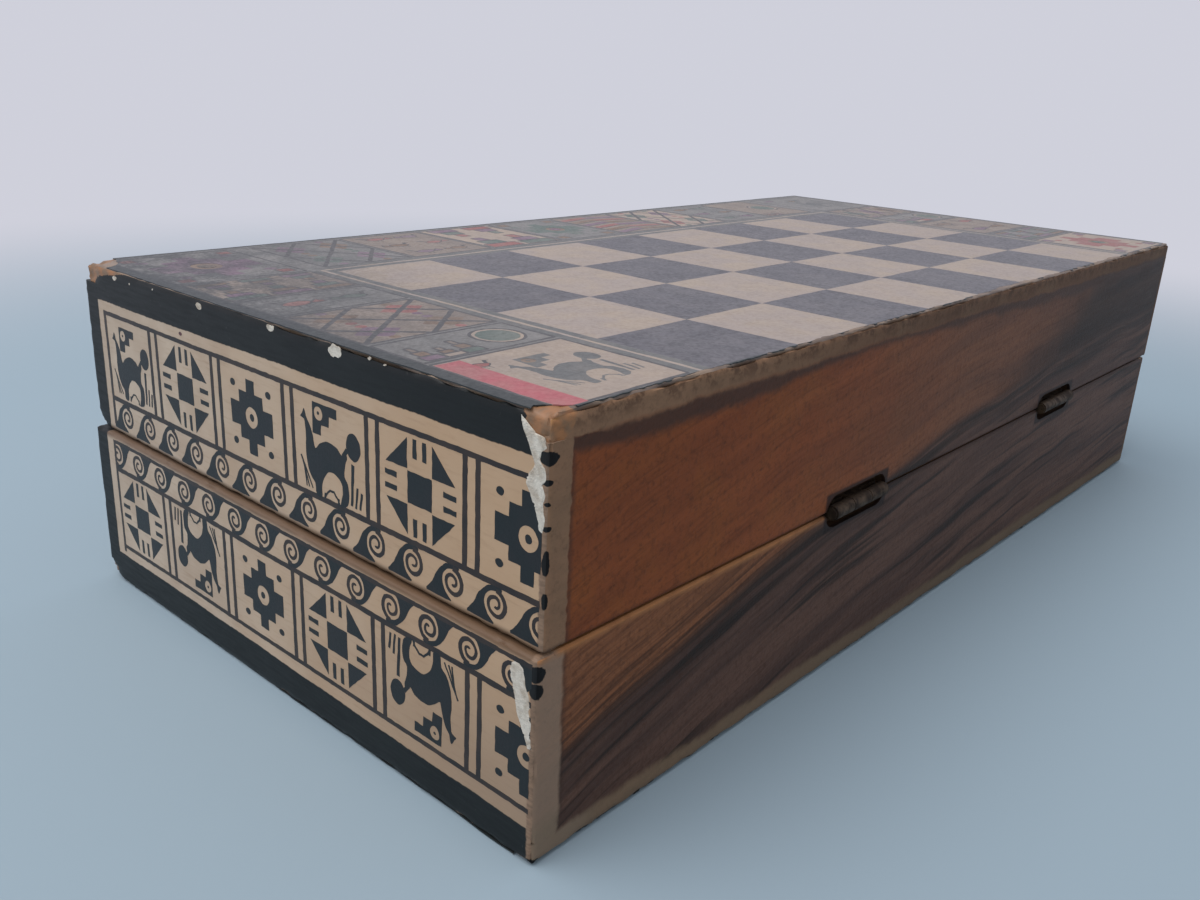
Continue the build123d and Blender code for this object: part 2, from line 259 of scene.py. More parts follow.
def laid_open(paint, colour, extra=0.0):
    """The colour, with bare wood where a mesh or the extra value says that it has chipped."""
    grain = paint.vector(paint.x * 0.4, paint.y * 0.4, paint.z)
    fibre = paint.noise(0.4, 4, grain, roughness=0.65, seed=21.0)
    crumbling = paint.waver(0.2, 0.8, 3, seed=22.0)
    bare = (paint.attribute("worn") + extra + crumbling).step(0.42, 0.52)
    patches = paint.noise(1.6, 3, seed=23.0)
    exposed = paint.coated(
        srgb(152, 108, 76),
        (patches.step(0.35, 0.65), srgb(122, 99, 80)),
        (fibre.step(0.5, 0.75) * 0.5, srgb(104, 70, 48)),
    )
    return paint.mix(bare, colour, exposed)


def blotted(paint, colour):
    """The colour with dark blots round the worn corner between the near end and the hinge side."""
    ragged = paint.waver(0.35, 0.6, 3, seed=25.0)
    inset = 0.3
    for height, across, up in CORNER_BLOTS:
        shift = LID_SHIFT if height > PARTING else 0.0
        x = (paint.x + LENGTH / 2 - inset - shift) * (1 / across)
        y = (paint.y + WIDTH / 2 - inset) * (1 / across)
        z = (paint.z - height) * (1 / up)
        away = (x * x + y * y + z * z).calc("SQRT")
        colour = paint.mix((away + ragged).step(1.05, 0.92), colour, srgb(24, 24, 25))
    return colour


class SidePaint(BoxPaint):
    """Stained wood of the long sides, whose grain rises from the near end and flattens."""

    def __init__(self):
        super().__init__("side_wood")
        self.along = self.x - self.lid * LID_SHIFT + LENGTH / 2
        self.side = self.y.sign()
        rise_height, rise_length = 31.0, 102.0
        rise = (self.along * (-1 / rise_length)).calc("EXPONENT") * rise_height - rise_height
        self.grain = self.z + rise + self.waver(2.5, 38.0, 2, seed=2.0) + self.side * 1.5
        self.fine = self.strands(0.5, 4, roughness=0.6)
        self.broad = self.strands(2.4, distortion=0.3, seed=4.0)
        self.mottle = self.noise(8.0, 3, seed=1.0)
        self.leather = self.noise(0.7, 4, seed=9.0, roughness=0.7)

    def strands(self, size, detail=3, pull=0.05, apart=7.0, **settings):
        """Noise drawn out along the grain lines, and not the same on the two sides."""
        place = self.vector(self.along * pull, self.side * apart, self.grain)
        return self.noise(size, detail, place, **settings)

    def stain(self):
        """Warm at the near end, dusky at the far one, weathered below, with a rosy heart."""
        along, grain, broad, mottle = self.along, self.grain, self.broad, self.mottle
        streaks = self.strands(1.5, 3, 0.035, 9.0, seed=6.0)
        thin_streaks = self.strands(0.75, 3, 0.03, 9.0, seed=7.0)
        pores = self.strands(0.45, 2, 0.3, seed=8.0)
        warm = self.coated(
            srgb(136, 75, 43),
            (broad.step(0.3, 0.75), srgb(121, 66, 39)),
            (mottle.step(0.4, 0.75) * 0.6, srgb(137, 80, 40)),
        )
        brown = self.mix(broad.step(0.3, 0.7), srgb(123, 81, 58), srgb(105, 71, 54))
        dusk = self.mix(broad.step(0.3, 0.7), srgb(56, 44, 37), srgb(40, 33, 30))
        weathered = self.mix(self.fine.step(0.35, 0.65), srgb(136, 91, 63), srgb(112, 76, 55))
        rose = self.coated(
            srgb(98, 73, 62),
            (broad.step(0.35, 0.65), srgb(77, 58, 51)),
            (streaks.step(0.52, 0.66) * 0.85, srgb(38, 33, 30)),
        )
        heart = (grain + broad * 2.4 - 1.2).step(11.6, 8.8)
        heart_edge = heart * (grain + broad * 3.0).step(6.4, 10.4) * streaks.step(0.36, 0.52)
        near_heart = (grain + broad * 2.0).step(19.0, 11.5) * self.lower * thin_streaks.step(0.44, 0.58)
        return self.coated(
            warm,
            ((along + mottle * 30.0 - 15.0).step(35.0, 105.0), brown),
            ((along + mottle * 40.0 - grain * 2.0).step(90.0, 150.0), dusk),
            (self.lower * 0.75, weathered),
            (heart, rose),
            (heart_edge * 0.85, srgb(36, 32, 29)),
            (near_heart * (1.0 - heart) * 0.62, srgb(50, 38, 31)),
            (self.fine.step(0.48, 0.72) * 0.34, srgb(52, 34, 26)),
            (self.leather.step(0.46, 0.7) * 0.42, srgb(60, 36, 24)),
            (pores.step(0.62, 0.74) * 0.35, srgb(58, 36, 28)),
        )

    def margin(self, fibre):
        """Unstained wood, greyer and paler at the lower near corner, scuffed under the board."""
        scuffs = self.noise(1.8, 4, seed=17.0, roughness=0.7)
        return self.coated(
            srgb(138, 107, 84),
            (self.along.step(12.0, 90.0), srgb(100, 76, 60)),
            (fibre.step(0.4, 0.75) * 0.4, srgb(108, 87, 71)),
            (self.mottle.step(0.45, 0.7) * 0.4, srgb(120, 98, 78)),
            (self.leather.step(0.5, 0.72) * 0.35, srgb(76, 58, 46)),
            (self.lower * self.along.step(12.0, 6.0) * 0.6, srgb(150, 130, 114)),
            (self.lower * self.from_panel.step(7.0, 4.0) * 0.45, srgb(118, 108, 90)),
            (self.lid * self.from_panel.step(3.0, 0.8) * scuffs.step(0.45, 0.6) * 0.6, srgb(62, 47, 39)),
        )


def side_material():
    """Long sides: stained wood within a worn, unstained margin, and plain wood inside."""
    paint = SidePaint()
    lid, lower, along = paint.lid, paint.lower, paint.along
    from_panel, from_rim = paint.from_panel, paint.from_rim

    # How far a point is inside the stain's edge, on the panel's side and at each end
    wander = paint.waver(1.2, 11.0, 3, seed=11.0)
    ragged = paint.waver(0.35, 1.1, 3, seed=12.0)
    to_panel = from_panel - 2.9 + wander + ragged
    to_near = along - 3.4 - lower * 0.7 + wander * 0.5 + ragged
    to_far = LENGTH - along - 1.4 + wander * 0.5 + ragged
    softness = to_near.step(1.0, 7.0, 0.14, 0.5) + lower * 0.25
    inside = to_panel.low(to_near).low(to_far)
    bare = (inside * softness.calc("POWER", -1.0)).step(0.9, -0.9)
    breadth = paint.noise(26.0, 2, seed=13.0).step(0.35, 0.65, 0.5, 2.2)
    line = to_panel.step(-0.3, 0.25) * (to_panel - breadth).step(0.9, -0.6) * lid.step(0.0, 1.0, 0.25, 1.0)
    thin_line = to_near.step(-0.15, 0.1) * to_near.step(0.9, 0.2) * 0.6
    fibre_place = paint.vector(along * 0.4, paint.side * 3.0, paint.z * 0.8)
    fibre = paint.noise(1.3, 4, fibre_place, roughness=0.65, seed=14.0)

    # The lower tray's rim is painted pale by the near end, as wear and as a painted highlight on its
    # rounded edge, and the parting line gets painted shade
    rim_wear_and_highlight = from_rim.step(1.25, 0.3) * lower * along.step(70.0, 45.0)
    rim_wear_and_highlight *= paint.noise(5.0, 3, seed=15.0).step(0.25, 0.5)
    shade = from_rim.step(0.95, 0.25) * lid.high(along.step(50.0, 75.0))
    dark_edge = from_panel.step(0.55, 0.1) * paint.noise(1.3, 3, seed=16.0).step(0.42, 0.6)
    outside = paint.coated(
        paint.stain(),
        (line.high(thin_line) * 0.85, srgb(64, 48, 41)),
        (bare * lid.step(0.0, 1.0, 0.85, 0.95), paint.margin(fibre)),
        (rim_wear_and_highlight * 0.85, srgb(164, 112, 72)),
        (shade * 0.6, srgb(38, 28, 24)),
        (dark_edge * 0.8, srgb(40, 33, 30)),
    )
    outside = blotted(paint, laid_open(paint, outside))

    # Sanded wood on the rim and inside, with painted shade in the hinges' pockets
    inner, _ = plain_wood(paint, srgb(170, 130, 90), srgb(140, 102, 66), "x")
    colour = paint.mix(abs(paint.y).step(49.2, 49.6), inner, outside)
    for middle in HINGE_PLACES:
        pocket_shade = abs(paint.x - middle).step(9.3, 8.6) * from_rim.step(3.3, 2.7) * paint.y.step(-45.0, -46.0)
        colour = paint.mix(pocket_shade * 0.88, colour, srgb(36, 27, 24))
    rough = bare * 0.15 + paint.fine * 0.18 + 0.44
    height = paint.fine * 0.4 + paint.leather * 0.7 + bare * fibre * 0.4
    return paint.finish(colour, rough, height, 0.11, specular=0.16)


def end_material():
    """Ends: pale varnished ground with the broad black band round it, worn at the edges."""
    paint = BoxPaint("end_ground")
    across = paint.x.sign() * paint.y + WIDTH / 2
    fibre_place = paint.vector(paint.x, paint.y * 0.12, paint.z)
    fibre = paint.noise(0.5, 4, fibre_place, roughness=0.6)
    mottle = paint.noise(6.0, 3, seed=1.0)
    warm = paint.waver(20.0, 11.0, 2, seed=2.0)
    # Painted shade, deepening towards the foot and towards the right-hand edge as one faces each end
    foot_corner_shade = across.step(50.0, 100.0) * paint.z.step(26.0, 6.0)

    wander = paint.waver(0.75, 14.0, 2, seed=4.0)
    ragged = paint.waver(0.14, 0.8, 3, seed=5.0)
    top_band = (paint.from_panel + wander * 0.5 + ragged + across * 0.006).step(5.45, 5.3)
    side_band = (across + wander * 0.2 + ragged - 3.85).step(0.08, -0.08)
    flecks = paint.noise(0.7, 4, seed=7.0)
    ink = paint.coated(
        srgb(24, 28, 29),
        (paint.noise(9.0, 3, seed=6.0).step(0.3, 0.7), srgb(19, 23, 24)),
        (flecks.step(0.68, 0.75) * 0.4, srgb(78, 78, 74)),
    )

    # Bare wood round the corner to the hinge side
    corner = (paint.y + WIDTH / 2 + ragged * 2.0 + wander * 0.5).step(1.05, 0.75)
    bare_wood = paint.mix(fibre.step(0.3, 0.7), srgb(146, 119, 98), srgb(118, 96, 80))
    colour = paint.coated(
        srgb(196, 176, 156),
        (mottle.step(0.3, 0.7), srgb(182, 160, 140)),
        ((across + warm).step(10.0, 95.0) * 0.75, srgb(184, 148, 114)),
        (fibre.step(0.5, 0.8) * 0.35, srgb(146, 118, 94)),
        (foot_corner_shade * 0.55, srgb(132, 114, 100)),
        ((paint.from_rim + mottle * 0.5).step(1.5, 0.6) * 0.85, srgb(84, 62, 47)),
        (top_band.high(side_band), ink),
        (corner, bare_wood),
    )

    # Chips at the near end's far side, a long one above and a small one at the foot
    top_chip = (across * 0.17 + TOTAL_HEIGHT - paint.z + ragged * 3.0).step(2.7, 2.2)
    foot_chip = (across * 0.5 + paint.z + ragged * 3.0).step(1.9, 1.5)
    chips = top_chip.high(foot_chip) * paint.x.step(0.0, -1.0)
    colour = blotted(paint, laid_open(paint, colour, chips))
    height = fibre * 0.6 + flecks * 0.4
    return paint.finish(colour, fibre.step(0.2, 0.9, 0.42, 0.58), height, 0.03, specular=0.3)


def board_ground_material():
    """Bare margin of the board's face, seen between the prints and along the worn edges."""
    paint = Paint("board_ground")
    fibre = paint.noise(0.6, 4, paint.vector(paint.x * 0.2, paint.y, paint.z), roughness=0.6)
    colour = paint.coated(
        srgb(136, 116, 100),
        (paint.noise(7.0, 3, seed=1.0).step(0.35, 0.7), srgb(104, 90, 82)),
        (fibre.step(0.5, 0.8) * 0.5, srgb(84, 68, 58)),
    )
    return paint.finish(laid_open(paint, colour), fibre.step(0.2, 0.9, 0.4, 0.55), fibre, 0.04)


def inner_wood_material():
    paint = Paint("inner_wood")
    colour, fibre = plain_wood(paint, srgb(178, 136, 94), srgb(148, 106, 70), "y")
    return paint.finish(colour, fibre.step(0.2, 0.9, 0.47, 0.67), fibre, 0.04)


def gesso_material():
    paint = Paint("gesso")
    crumbs = paint.noise(0.35, 4, roughness=0.7)
    colour = paint.coated(
        srgb(214, 206, 194),
        (paint.noise(1.4, 3, seed=2.0).step(0.4, 0.7), srgb(178, 164, 148)),
        (crumbs.step(0.56, 0.72) * 0.5, srgb(132, 112, 96)),
    )
    return paint.finish(colour, crumbs.step(0.2, 0.8, 0.7, 0.9), crumbs, 0.16, specular=0.2)


def printed_material(name, tone, ground=(196, 168, 138), fade=0.3, speckle=0.35, rough=0.42):
    """Printed colour, uneven and worn through to the ground in small flecks."""
    paint = Paint(name)
    base, under = srgb(*tone), srgb(*ground)
    cloud = paint.noise(5.0, 3, seed=1.0)
    grain = paint.noise(0.55, 4, seed=2.0, roughness=0.65)
    flecks = paint.noise(0.9, 4, seed=3.0, roughness=0.7)
    blots = paint.noise(2.2, 3, seed=4.0)
    near_edge = (paint.x + LENGTH / 2 - paint.y * 0.35 + blots * 14.0 - 7.0).step(46.0, -12.0)
    patches = (paint.noise(4.5, 3, seed=5.0) * 0.6 + grain * 0.4).step(0.36, 0.58, 0.12, 0.85)
    colour = paint.coated(
        base,
        (cloud.step(0.35, 0.7) * fade, under),
        ((grain * 0.5 + blots * 0.5).step(0.42, 0.66) * speckle, tuple(c * 0.5 for c in base)),
        (flecks.step(0.66, 0.75) * min(1.0, fade * 2), under),
        (near_edge * paint.y.step(-62.0, 6.0) * patches, srgb(48, 51, 54)),
    )
    return paint.finish(colour, grain.step(0.2, 0.9, rough - 0.06, rough + 0.12), grain, 0.02)


def ink_material(name, tone, thin_tone):
    """Near-black ink that thins to brown in places."""
    paint = Paint(name)
    grain = paint.noise(0.4, 4, seed=2.0, roughness=0.7)
    colour = paint.coated(
        srgb(*tone),
        (paint.noise(3.2, 3, seed=1.0).step(0.35, 0.65), srgb(*thin_tone)),
        (grain.step(0.64, 0.8) * 0.45, srgb(112, 88, 70)),
    )
    return paint.finish(colour, grain.step(0.2, 0.9, 0.34, 0.5), grain, 0.02)


def felt_material():
    paint = Paint("felt")
    fuzz = paint.noise(0.35, 5, roughness=0.75, distortion=1.2)
    colour = paint.coated(
        srgb(40, 78, 54),
        (paint.noise(1.3, 3, seed=2.0).step(0.3, 0.7), srgb(30, 62, 44)),
        (fuzz.step(0.55, 0.8) * 0.5, srgb(84, 118, 92)),
    )
    paint.set(Sheen_Weight=0.35, Sheen_Roughness=0.5)
    return paint.finish(colour, fuzz.step(0.2, 0.9, 0.86, 0.98), fuzz, 0.25, specular=0.15)


def brass_material(name, bright, dull, tarnish, rough):
    paint = Paint(name)
    cloud = paint.noise(1.6, 4, seed=1.0)
    scratch = paint.noise(0.22, 3, paint.vector(paint.x * 0.15, paint.y, paint.z), seed=2.0)
    spots = paint.noise(0.6, 4, seed=3.0, roughness=0.7)
    colour = paint.coated(
        srgb(*bright),
        (cloud.step(0.35, 0.65), srgb(*dull)),
        (spots.step(0.5, 0.68) * 0.85, srgb(*tarnish)),
    )
    height = scratch * 0.5 + spots * 0.5
    return paint.finish(colour, cloud.step(0.3, 0.7, rough, rough + 0.22), height, 0.03, metallic=0.85)


def turned_material(name, pale, dark, rough):
    """Varnished wood of a lying chessman, its grain along the piece."""
    paint = Paint(name)
    colour, fibre = plain_wood(paint, srgb(*pale), srgb(*dark), "y", 0.9)
    rings = paint.noise(0.5, 3, paint.vector(paint.x, paint.y * 2.0, paint.z), seed=7.0)
    colour = paint.mix(rings.step(0.6, 0.8) * 0.18, colour, srgb(*(c * 0.6 for c in dark)))
    paint.set(Coat_Weight=0.35, Coat_Roughness=0.25)
    return paint.finish(colour, fibre.step(0.2, 0.9, rough, rough + 0.15), fibre, 0.02)


# Each printed colour's tone and ground, and then its fading, speckle and roughness
PRINT_TONES = {
    "red_dot": ((140, 52, 58),),
    "light": ((152, 137, 129), (163, 144, 124), 0.6, 0.24, 0.4),
    "dark": ((82, 79, 85), (114, 108, 110), 0.35, 0.7, 0.38),
    "stone": ((121, 117, 115), (96, 96, 96), 0.7, 0.45, 0.42),
    "tan": ((153, 137, 126), (164, 145, 127), 0.5, 0.24, 0.42),
    "sand": ((134, 120, 110), (110, 100, 96), 0.6, 0.4, 0.42),
    "grey": ((92, 92, 92), (124, 118, 114), 0.4, 0.3),
    "outline": ((72, 70, 72), (96, 90, 88), 0.4, 0.3),
    "pink": ((168, 84, 92), (160, 118, 112), 0.6, 0.25),
    "brick": ((138, 84, 80), (142, 118, 112), 0.45, 0.35),
    "mauve": ((112, 88, 104), (134, 122, 124), 0.45, 0.35),
    "moss": ((84, 96, 90), (122, 120, 114), 0.45, 0.35),
    "brown": ((114, 92, 76), (134, 120, 110), 0.45, 0.35),
    "edge": ((42, 46, 47), (70, 72, 70), 0.4, 0.3),
}
PAINTS = {
    "side": side_material(),
    "end": end_material(),
    "board": board_ground_material(),
    "gesso": gesso_material(),
    "inner": inner_wood_material(),
    "ink": ink_material("ink_mass", (25, 31, 34), (31, 33, 36)),
    "line_ink": ink_material("ink_line", (40, 35, 35), (54, 44, 40)),
}
PAINTS.update({kind: printed_material(f"print_{kind}", *tones) for kind, tones in PRINT_TONES.items()})

# What a CAD node's name holds, and its paint. The first that fits is used, and None is a node
# that a piece of this script replaces.
CAD_PAINTS = {
    "hinge_rail": PAINTS["side"],
    "catch_rail": PAINTS["side"],
    "end_rail": PAINTS["inner"],
    "lining": felt_material(),
    "hinge": brass_material("old_brass", (84, 70, 56), (58, 49, 42), (38, 33, 31), 0.5),
    "catch": brass_material("catch_brass", (168, 132, 72), (122, 96, 56), (66, 54, 38), 0.3),
    "light": turned_material("light_chessman", (222, 186, 132), (190, 148, 94), 0.3),
    "dark": turned_material("dark_chessman", (86, 54, 38), (52, 32, 24), 0.28),
    "board": None,
    "facing": None,
}

for name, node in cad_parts.items():
    paint = next(paint for part, paint in CAD_PAINTS.items() if part in name)
    if paint:
        node.data.materials.clear()
        node.data.materials.append(paint)


# Outlines

def rectangle(x0, x1, y0, y1):
    return [(x0, y0), (x1, y0), (x1, y1), (x0, y1)]


def ellipse(x, y, across, up, count=28):
    turn = 2 * math.pi / count
    return [(x + across * math.cos(turn * i), y + up * math.sin(turn * i)) for i in range(count)]


def sides_of(loop):
    """Each point of a closed loop with the next one."""
    return zip(loop, loop[1:] + loop[:1])


def curved(points):
    """Closed outline that passes smoothly through the points."""
    outline = []
    count, parts = len(points), 3
    for i in range(count):
        before, start, end, after = (Vector(points[(i + k) % count]) for k in (-1, 0, 1, 2))
        for part in range(parts):
            t = part / parts
            outline.append(tuple(
                (2 * start + (end - before) * t + (2 * before - 5 * start + 4 * end - after) * t**2
                 + (3 * start - before - 3 * end + after) * t**3) / 2
            ))
    return outline


def stroke(points, widths):
    """Outline of a line drawn through the points with changing width."""
    left, right = [], []
    for i, point in enumerate(points):
        ahead = Vector(points[min(i + 1, len(points) - 1)]) - Vector(points[max(i - 1, 0)])
        normal = Vector((-ahead.y, ahead.x)).normalized() * widths[i] / 2
        left.append(tuple(Vector(point) + normal))
        right.append(tuple(Vector(point) - normal))
    return left + right[::-1]


def straight(start, end, width, tip=1.0):
    """Outline of a straight line; tip is its width at the end as a share of the width."""
    middle = tuple((a + b) / 2 for a, b in zip(start, end))
    return stroke([start, middle, end], [width, width * (1 + tip) / 2, width * tip])


def moved(loops, dx, dy, scale, flip=1.0):
    """Loops scaled, mirrored across where flip is -1, and then shifted."""
    return [(kind, [(dx + x * flip * scale, dy + y * scale) for x, y in loop]) for kind, loop in loops]


# Each motif is a list of (kind, loop) about its middle, in the order in which they are laid down.
# A loop of kind BARE takes away what lies under it.
BARE = None


def geometric_motif(dark):
    loops = [(dark, rectangle(-2.15, 2.15, -1.98, 1.98))]
    corner = [(2.2, 2.2), (6.1, 2.2), (2.2, 6.0)]
    loops += [(dark, [(x * sx, y * sy) for x, y in corner]) for sx in (1, -1) for sy in (1, -1)]
    for x in (-0.85, 0.85):
        for sign in (1, -1):
            loops.append((dark, straight((x, sign * 3.7), (x, sign * 6.0), 0.72, 0.9)))
            loops.append((dark, straight((sign * 4.1, x), (sign * 6.3, x), 0.72, 0.9)))
    return loops


def stepped_cross(dark):
    eye = 1.45
    loops = [(dark, rectangle(-x, x, -y, y)) for x, y in ((0.98, 5.2), (2.85, 3.35), (5.0, 1.65))]
    loops += [(BARE, ellipse(0, 0, eye, eye)), (dark, ellipse(0.05, 0, eye * 0.36, eye * 0.36, 14))]
    loops += [(dark, ellipse(x, y, 0.62, 0.5, 14)) for x in (-4.25, 4.25) for y in (-4.1, 4.1)]
    return loops


def llama(dark):
    """A standing llama with a stepped banner behind it, a tassel and a few strokes of grass."""
    body = curved([
        (-5.05, 4.45), (-5.45, 3.75), (-5.85, 3.25), (-5.4, 3.1), (-4.95, 2.75), (-4.8, 0.9),
        (-4.95, -0.6), (-4.8, -2.6), (-4.1, -4.2), (-3.2, -5.0), (-3.0, -6.5), (-1.85, -6.5),
        (-1.75, -5.1), (-1.3, -3.9), (-0.6, -3.1), (0.1, -2.65), (1.3, -2.75), (2.4, -3.4),
        (2.6, -4.8), (2.1, -6.5), (2.9, -6.5), (3.7, -5.9), (3.9, -4.6), (3.75, -3.2),
        (3.1, -2.4), (3.3, -0.7), (3.7, 0.1), (3.4, 0.85), (2.55, 0.25), (1.8, 0.85),
        (0.6, 1.2), (-0.7, 1.15), (-1.95, 0.5), (-2.95, -0.25), (-3.3, 1.2), (-3.85, 2.5),
        (-4.55, 3.3), (-4.75, 4.0),
    ])
    banner = [
        (-3.15, 5.8), (1.85, 5.8), (1.8, 4.5), (0.25, 4.5), (0.15, 3.1), (-1.45, 3.1),
        (-1.6, 1.7), (-3.3, 1.7),
    ]
    strokes = [
        ((4.85, -0.35), (4.45, -5.8), 0.62, 0.7),
        ((5.65, -3.1), (5.3, -5.9), 0.4, 0.9),
        ((6.5, -3.6), (6.15, -5.8), 0.4, 0.9),
    ]
    strokes += [((-6.1 - x * 0.5, -1.9 + x), (-3.75 + x, -5.9), 0.28, 0.9) for x in (0.0, -0.75, -1.3)]
    arch = [(-1.25 + 0.4 * i, -5.15 - 0.09 * (i - 4) ** 2 + 0.12 * (i % 2)) for i in range(9)]
    loops = [
        (dark, body),
        (dark, straight((2.85, 0.2), (3.75, 1.2), 0.6)),
        (dark, ellipse(5.0, 1.9, 1.42, 1.75)),
        (dark, banner),
        (BARE, ellipse(-1.95, 4.45, 0.88, 0.9, 20)),
        (dark, ellipse(-1.95, 4.5, 0.24, 0.22, 10)),
    ]
    loops += [(dark, straight(*line)) for line in strokes]
    loops.append((dark, stroke(arch, [0.3] * len(arch))))
    loops += [(dark, straight((x, -5.7), (x - 0.1, -6.5), 0.3)) for x in (-1.1, 1.75)]
    return loops


def wave(dark, light_ink):
    """One breaking wave about the middle of its curl, rising from the rim below."""
    mass = curved([
        (-4.5, -2.45), (-3.5, -1.0), (-2.65, 0.55), (-1.7, 1.55), (-0.8, 2.1), (0.9, 2.1),
        (0.75, 1.6), (0.0, 1.62), (-0.8, 1.42), (-1.45, 0.85), (-1.74, 0.1), (-1.66, -0.65),
        (-1.2, -1.55), (-0.3, -2.45),
    ])
    centres, widths = [], []
    parts = 30
    for i in range(parts + 1):
        share = i / parts
        angle = math.radians(88 - 560 * share)
        radius = 1.74 - 1.1 * share**0.85 - 0.45 * share**3
        centres.append((radius * math.cos(angle), radius * math.sin(angle)))
        widths.append(0.62 - 0.3 * share)
    return [(dark, mass), (light_ink, stroke(centres, widths))]


# Meshes

def resampled(loop, pitch):
    """The loop with points added so that no run is longer than pitch."""
    points = []
    for start, end in sides_of(loop):
        count = max(1, math.ceil(math.dist(start, end) / pitch))
        for i in range(count):
            t = i / count
            points.append((start[0] + (end[0] - start[0]) * t, start[1] + (end[1] - start[1]) * t))
    return points


def hand_drawn(point, amount, seed):
    """The point moved a little, as a hand-cut stencil would have it."""
    u, v = point
    made = []
    for axis, value in enumerate((u, v)):
        slow = noise.noise(Vector((u / 13.0, v / 13.0, seed + 7.3 * axis)))
        quick = noise.noise(Vector((u / 0.8, v / 0.8, seed + 3.1 * axis + 40.0)))
        made.append(value + amount * (1.3 * slow + 1.0 * quick))
    return made


def new_piece(name, points, faces, kinds, body):
    """Mesh piece on a body, with one kind of paint for each face."""
    mesh = bpy.data.meshes.new(name)
    mesh.from_pydata([Vector(p) * MM for p in points], [], faces)
    used = sorted(set(kinds))
    for kind in used:
        mesh.materials.append(PAINTS[kind])
    mesh.polygons.foreach_set("material_index", [used.index(kind) for kind in kinds])
    mesh.update()
    piece = bpy.data.objects.new(name, mesh)
    bpy.context.scene.collection.objects.link(piece)
    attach(piece, body)
    return piece


def cut_out(loops, wobble, pitch, seed, grain):
    """Flat points, and each triangle that isn't bare with the kind of the last loop over it."""
    points, outlines = [], []
    for _, loop in loops:
        first = len(points)
        points += [hand_drawn(p, wobble, seed) for p in resampled(loop, pitch)]
        area = sum(a[0] * b[1] - a[1] * b[0] for a, b in sides_of(loop))
        numbers = list(range(first, len(points)))
        outlines.append(numbers if area > 0 else numbers[::-1])
    points += grain
    inside_only, smallest = 1, 1e-5
    flat, _, triangles, _, _, covers = delaunay_2d_cdt(
        [Vector(p) for p in points], [], outlines, inside_only, smallest
    )
    kept = []
    for triangle, cover in zip(triangles, covers):
        kind = loops[max(cover)][0] if cover else BARE
        if kind is not BARE:
            kept.append((tuple(triangle), kind))
    return flat, kept


def is_right_handed(place):
    """Whether a placer keeps u, v and height right-handed, so that no face needs turning."""
    corner, along, up, out = (Vector(place(*p)) for p in ((0, 0, 0), (1, 0, 0), (0, 1, 0), (0, 0, 1)))
    return (along - corner).cross(up - corner).dot(out - corner) > 0


def sheet_of(name, loops, place, body, wobble=0.09, pitch=0.7, seed=0.0, relief=None, grain=()):
    """Closed thin sheet of the loops; later loops lie over earlier ones and BARE ones cut through.

    place turns (u, v, height) into a point of the frame; heights run from PRINT_BASE below to
    PRINT_TOP, or to what relief gives for a raised patch with loose points at grain.
    """
    flat, kept = cut_out(loops, wobble, pitch, seed, grain)
    used = sorted({corner for triangle, _ in kept for corner in triangle})
    number = {old: new for new, old in enumerate(used)}
    count = len(used)
    sides = {side: kind for triangle, kind in kept for side in sides_of(triangle)}
    borders = {side: kind for side, kind in sides.items() if side[::-1] not in sides}
    rim = {corner for side in borders for corner in side}
    tops, bases = [], []
    for old in used:
        u, v = flat[old]
        height = PRINT_TOP
        if relief:
            height = 0.0 if old in rim else relief(u, v)
        tops.append(place(u, v, height))
        bases.append(place(u, v, -PRINT_BASE))
    faces, kinds = [], []
    for triangle, kind in kept:
        top = [number[c] for c in triangle]
        faces += [top, [count + c for c in reversed(top)]]
        kinds += [kind, kind]
    for (a, b), kind in borders.items():
        faces.append([number[a], count + number[a], count + number[b], number[b]])
        kinds.append(kind)
    if not is_right_handed(place):
        faces = [face[::-1] for face in faces]
    new_piece(name, tops + bases, faces, kinds, body)


def stations(low, high, pitch):
    """Grid lines between two faces, closer together near both."""
    thin, thin_parts = 5.0, 6
    if high - low < thin:
        return [low + (high - low) * i / thin_parts for i in range(thin_parts + 1)]
    near = [0.0, 0.22, 0.5, 0.85, 1.4]
    span = high - low - 2 * near[-1]
    count = round(span / pitch)
    middle = [low + near[-1] + span * i / count for i in range(count + 1)]
    return [low + e for e in near[:-1]] + middle + [high - e for e in reversed(near[:-1])]


def surface_cells(ends):
    """Cells of a block's grid as (side, keys of its corners); ends holds the last grid lines."""
    for axis in range(3):
        a, b = (axis + 1) % 3, (axis + 2) % 3
        for side in (0, 1):
            for i in range(ends[a]):
                for j in range(ends[b]):
                    keys = []
                    for di, dj in ((0, 0), (1, 0), (1, 1), (0, 1)):
                        key = [0, 0, 0]
                        key[axis], key[a], key[b] = side * ends[axis], i + di, j + dj
                        keys.append(tuple(key))
                    yield 2 * axis + side, keys


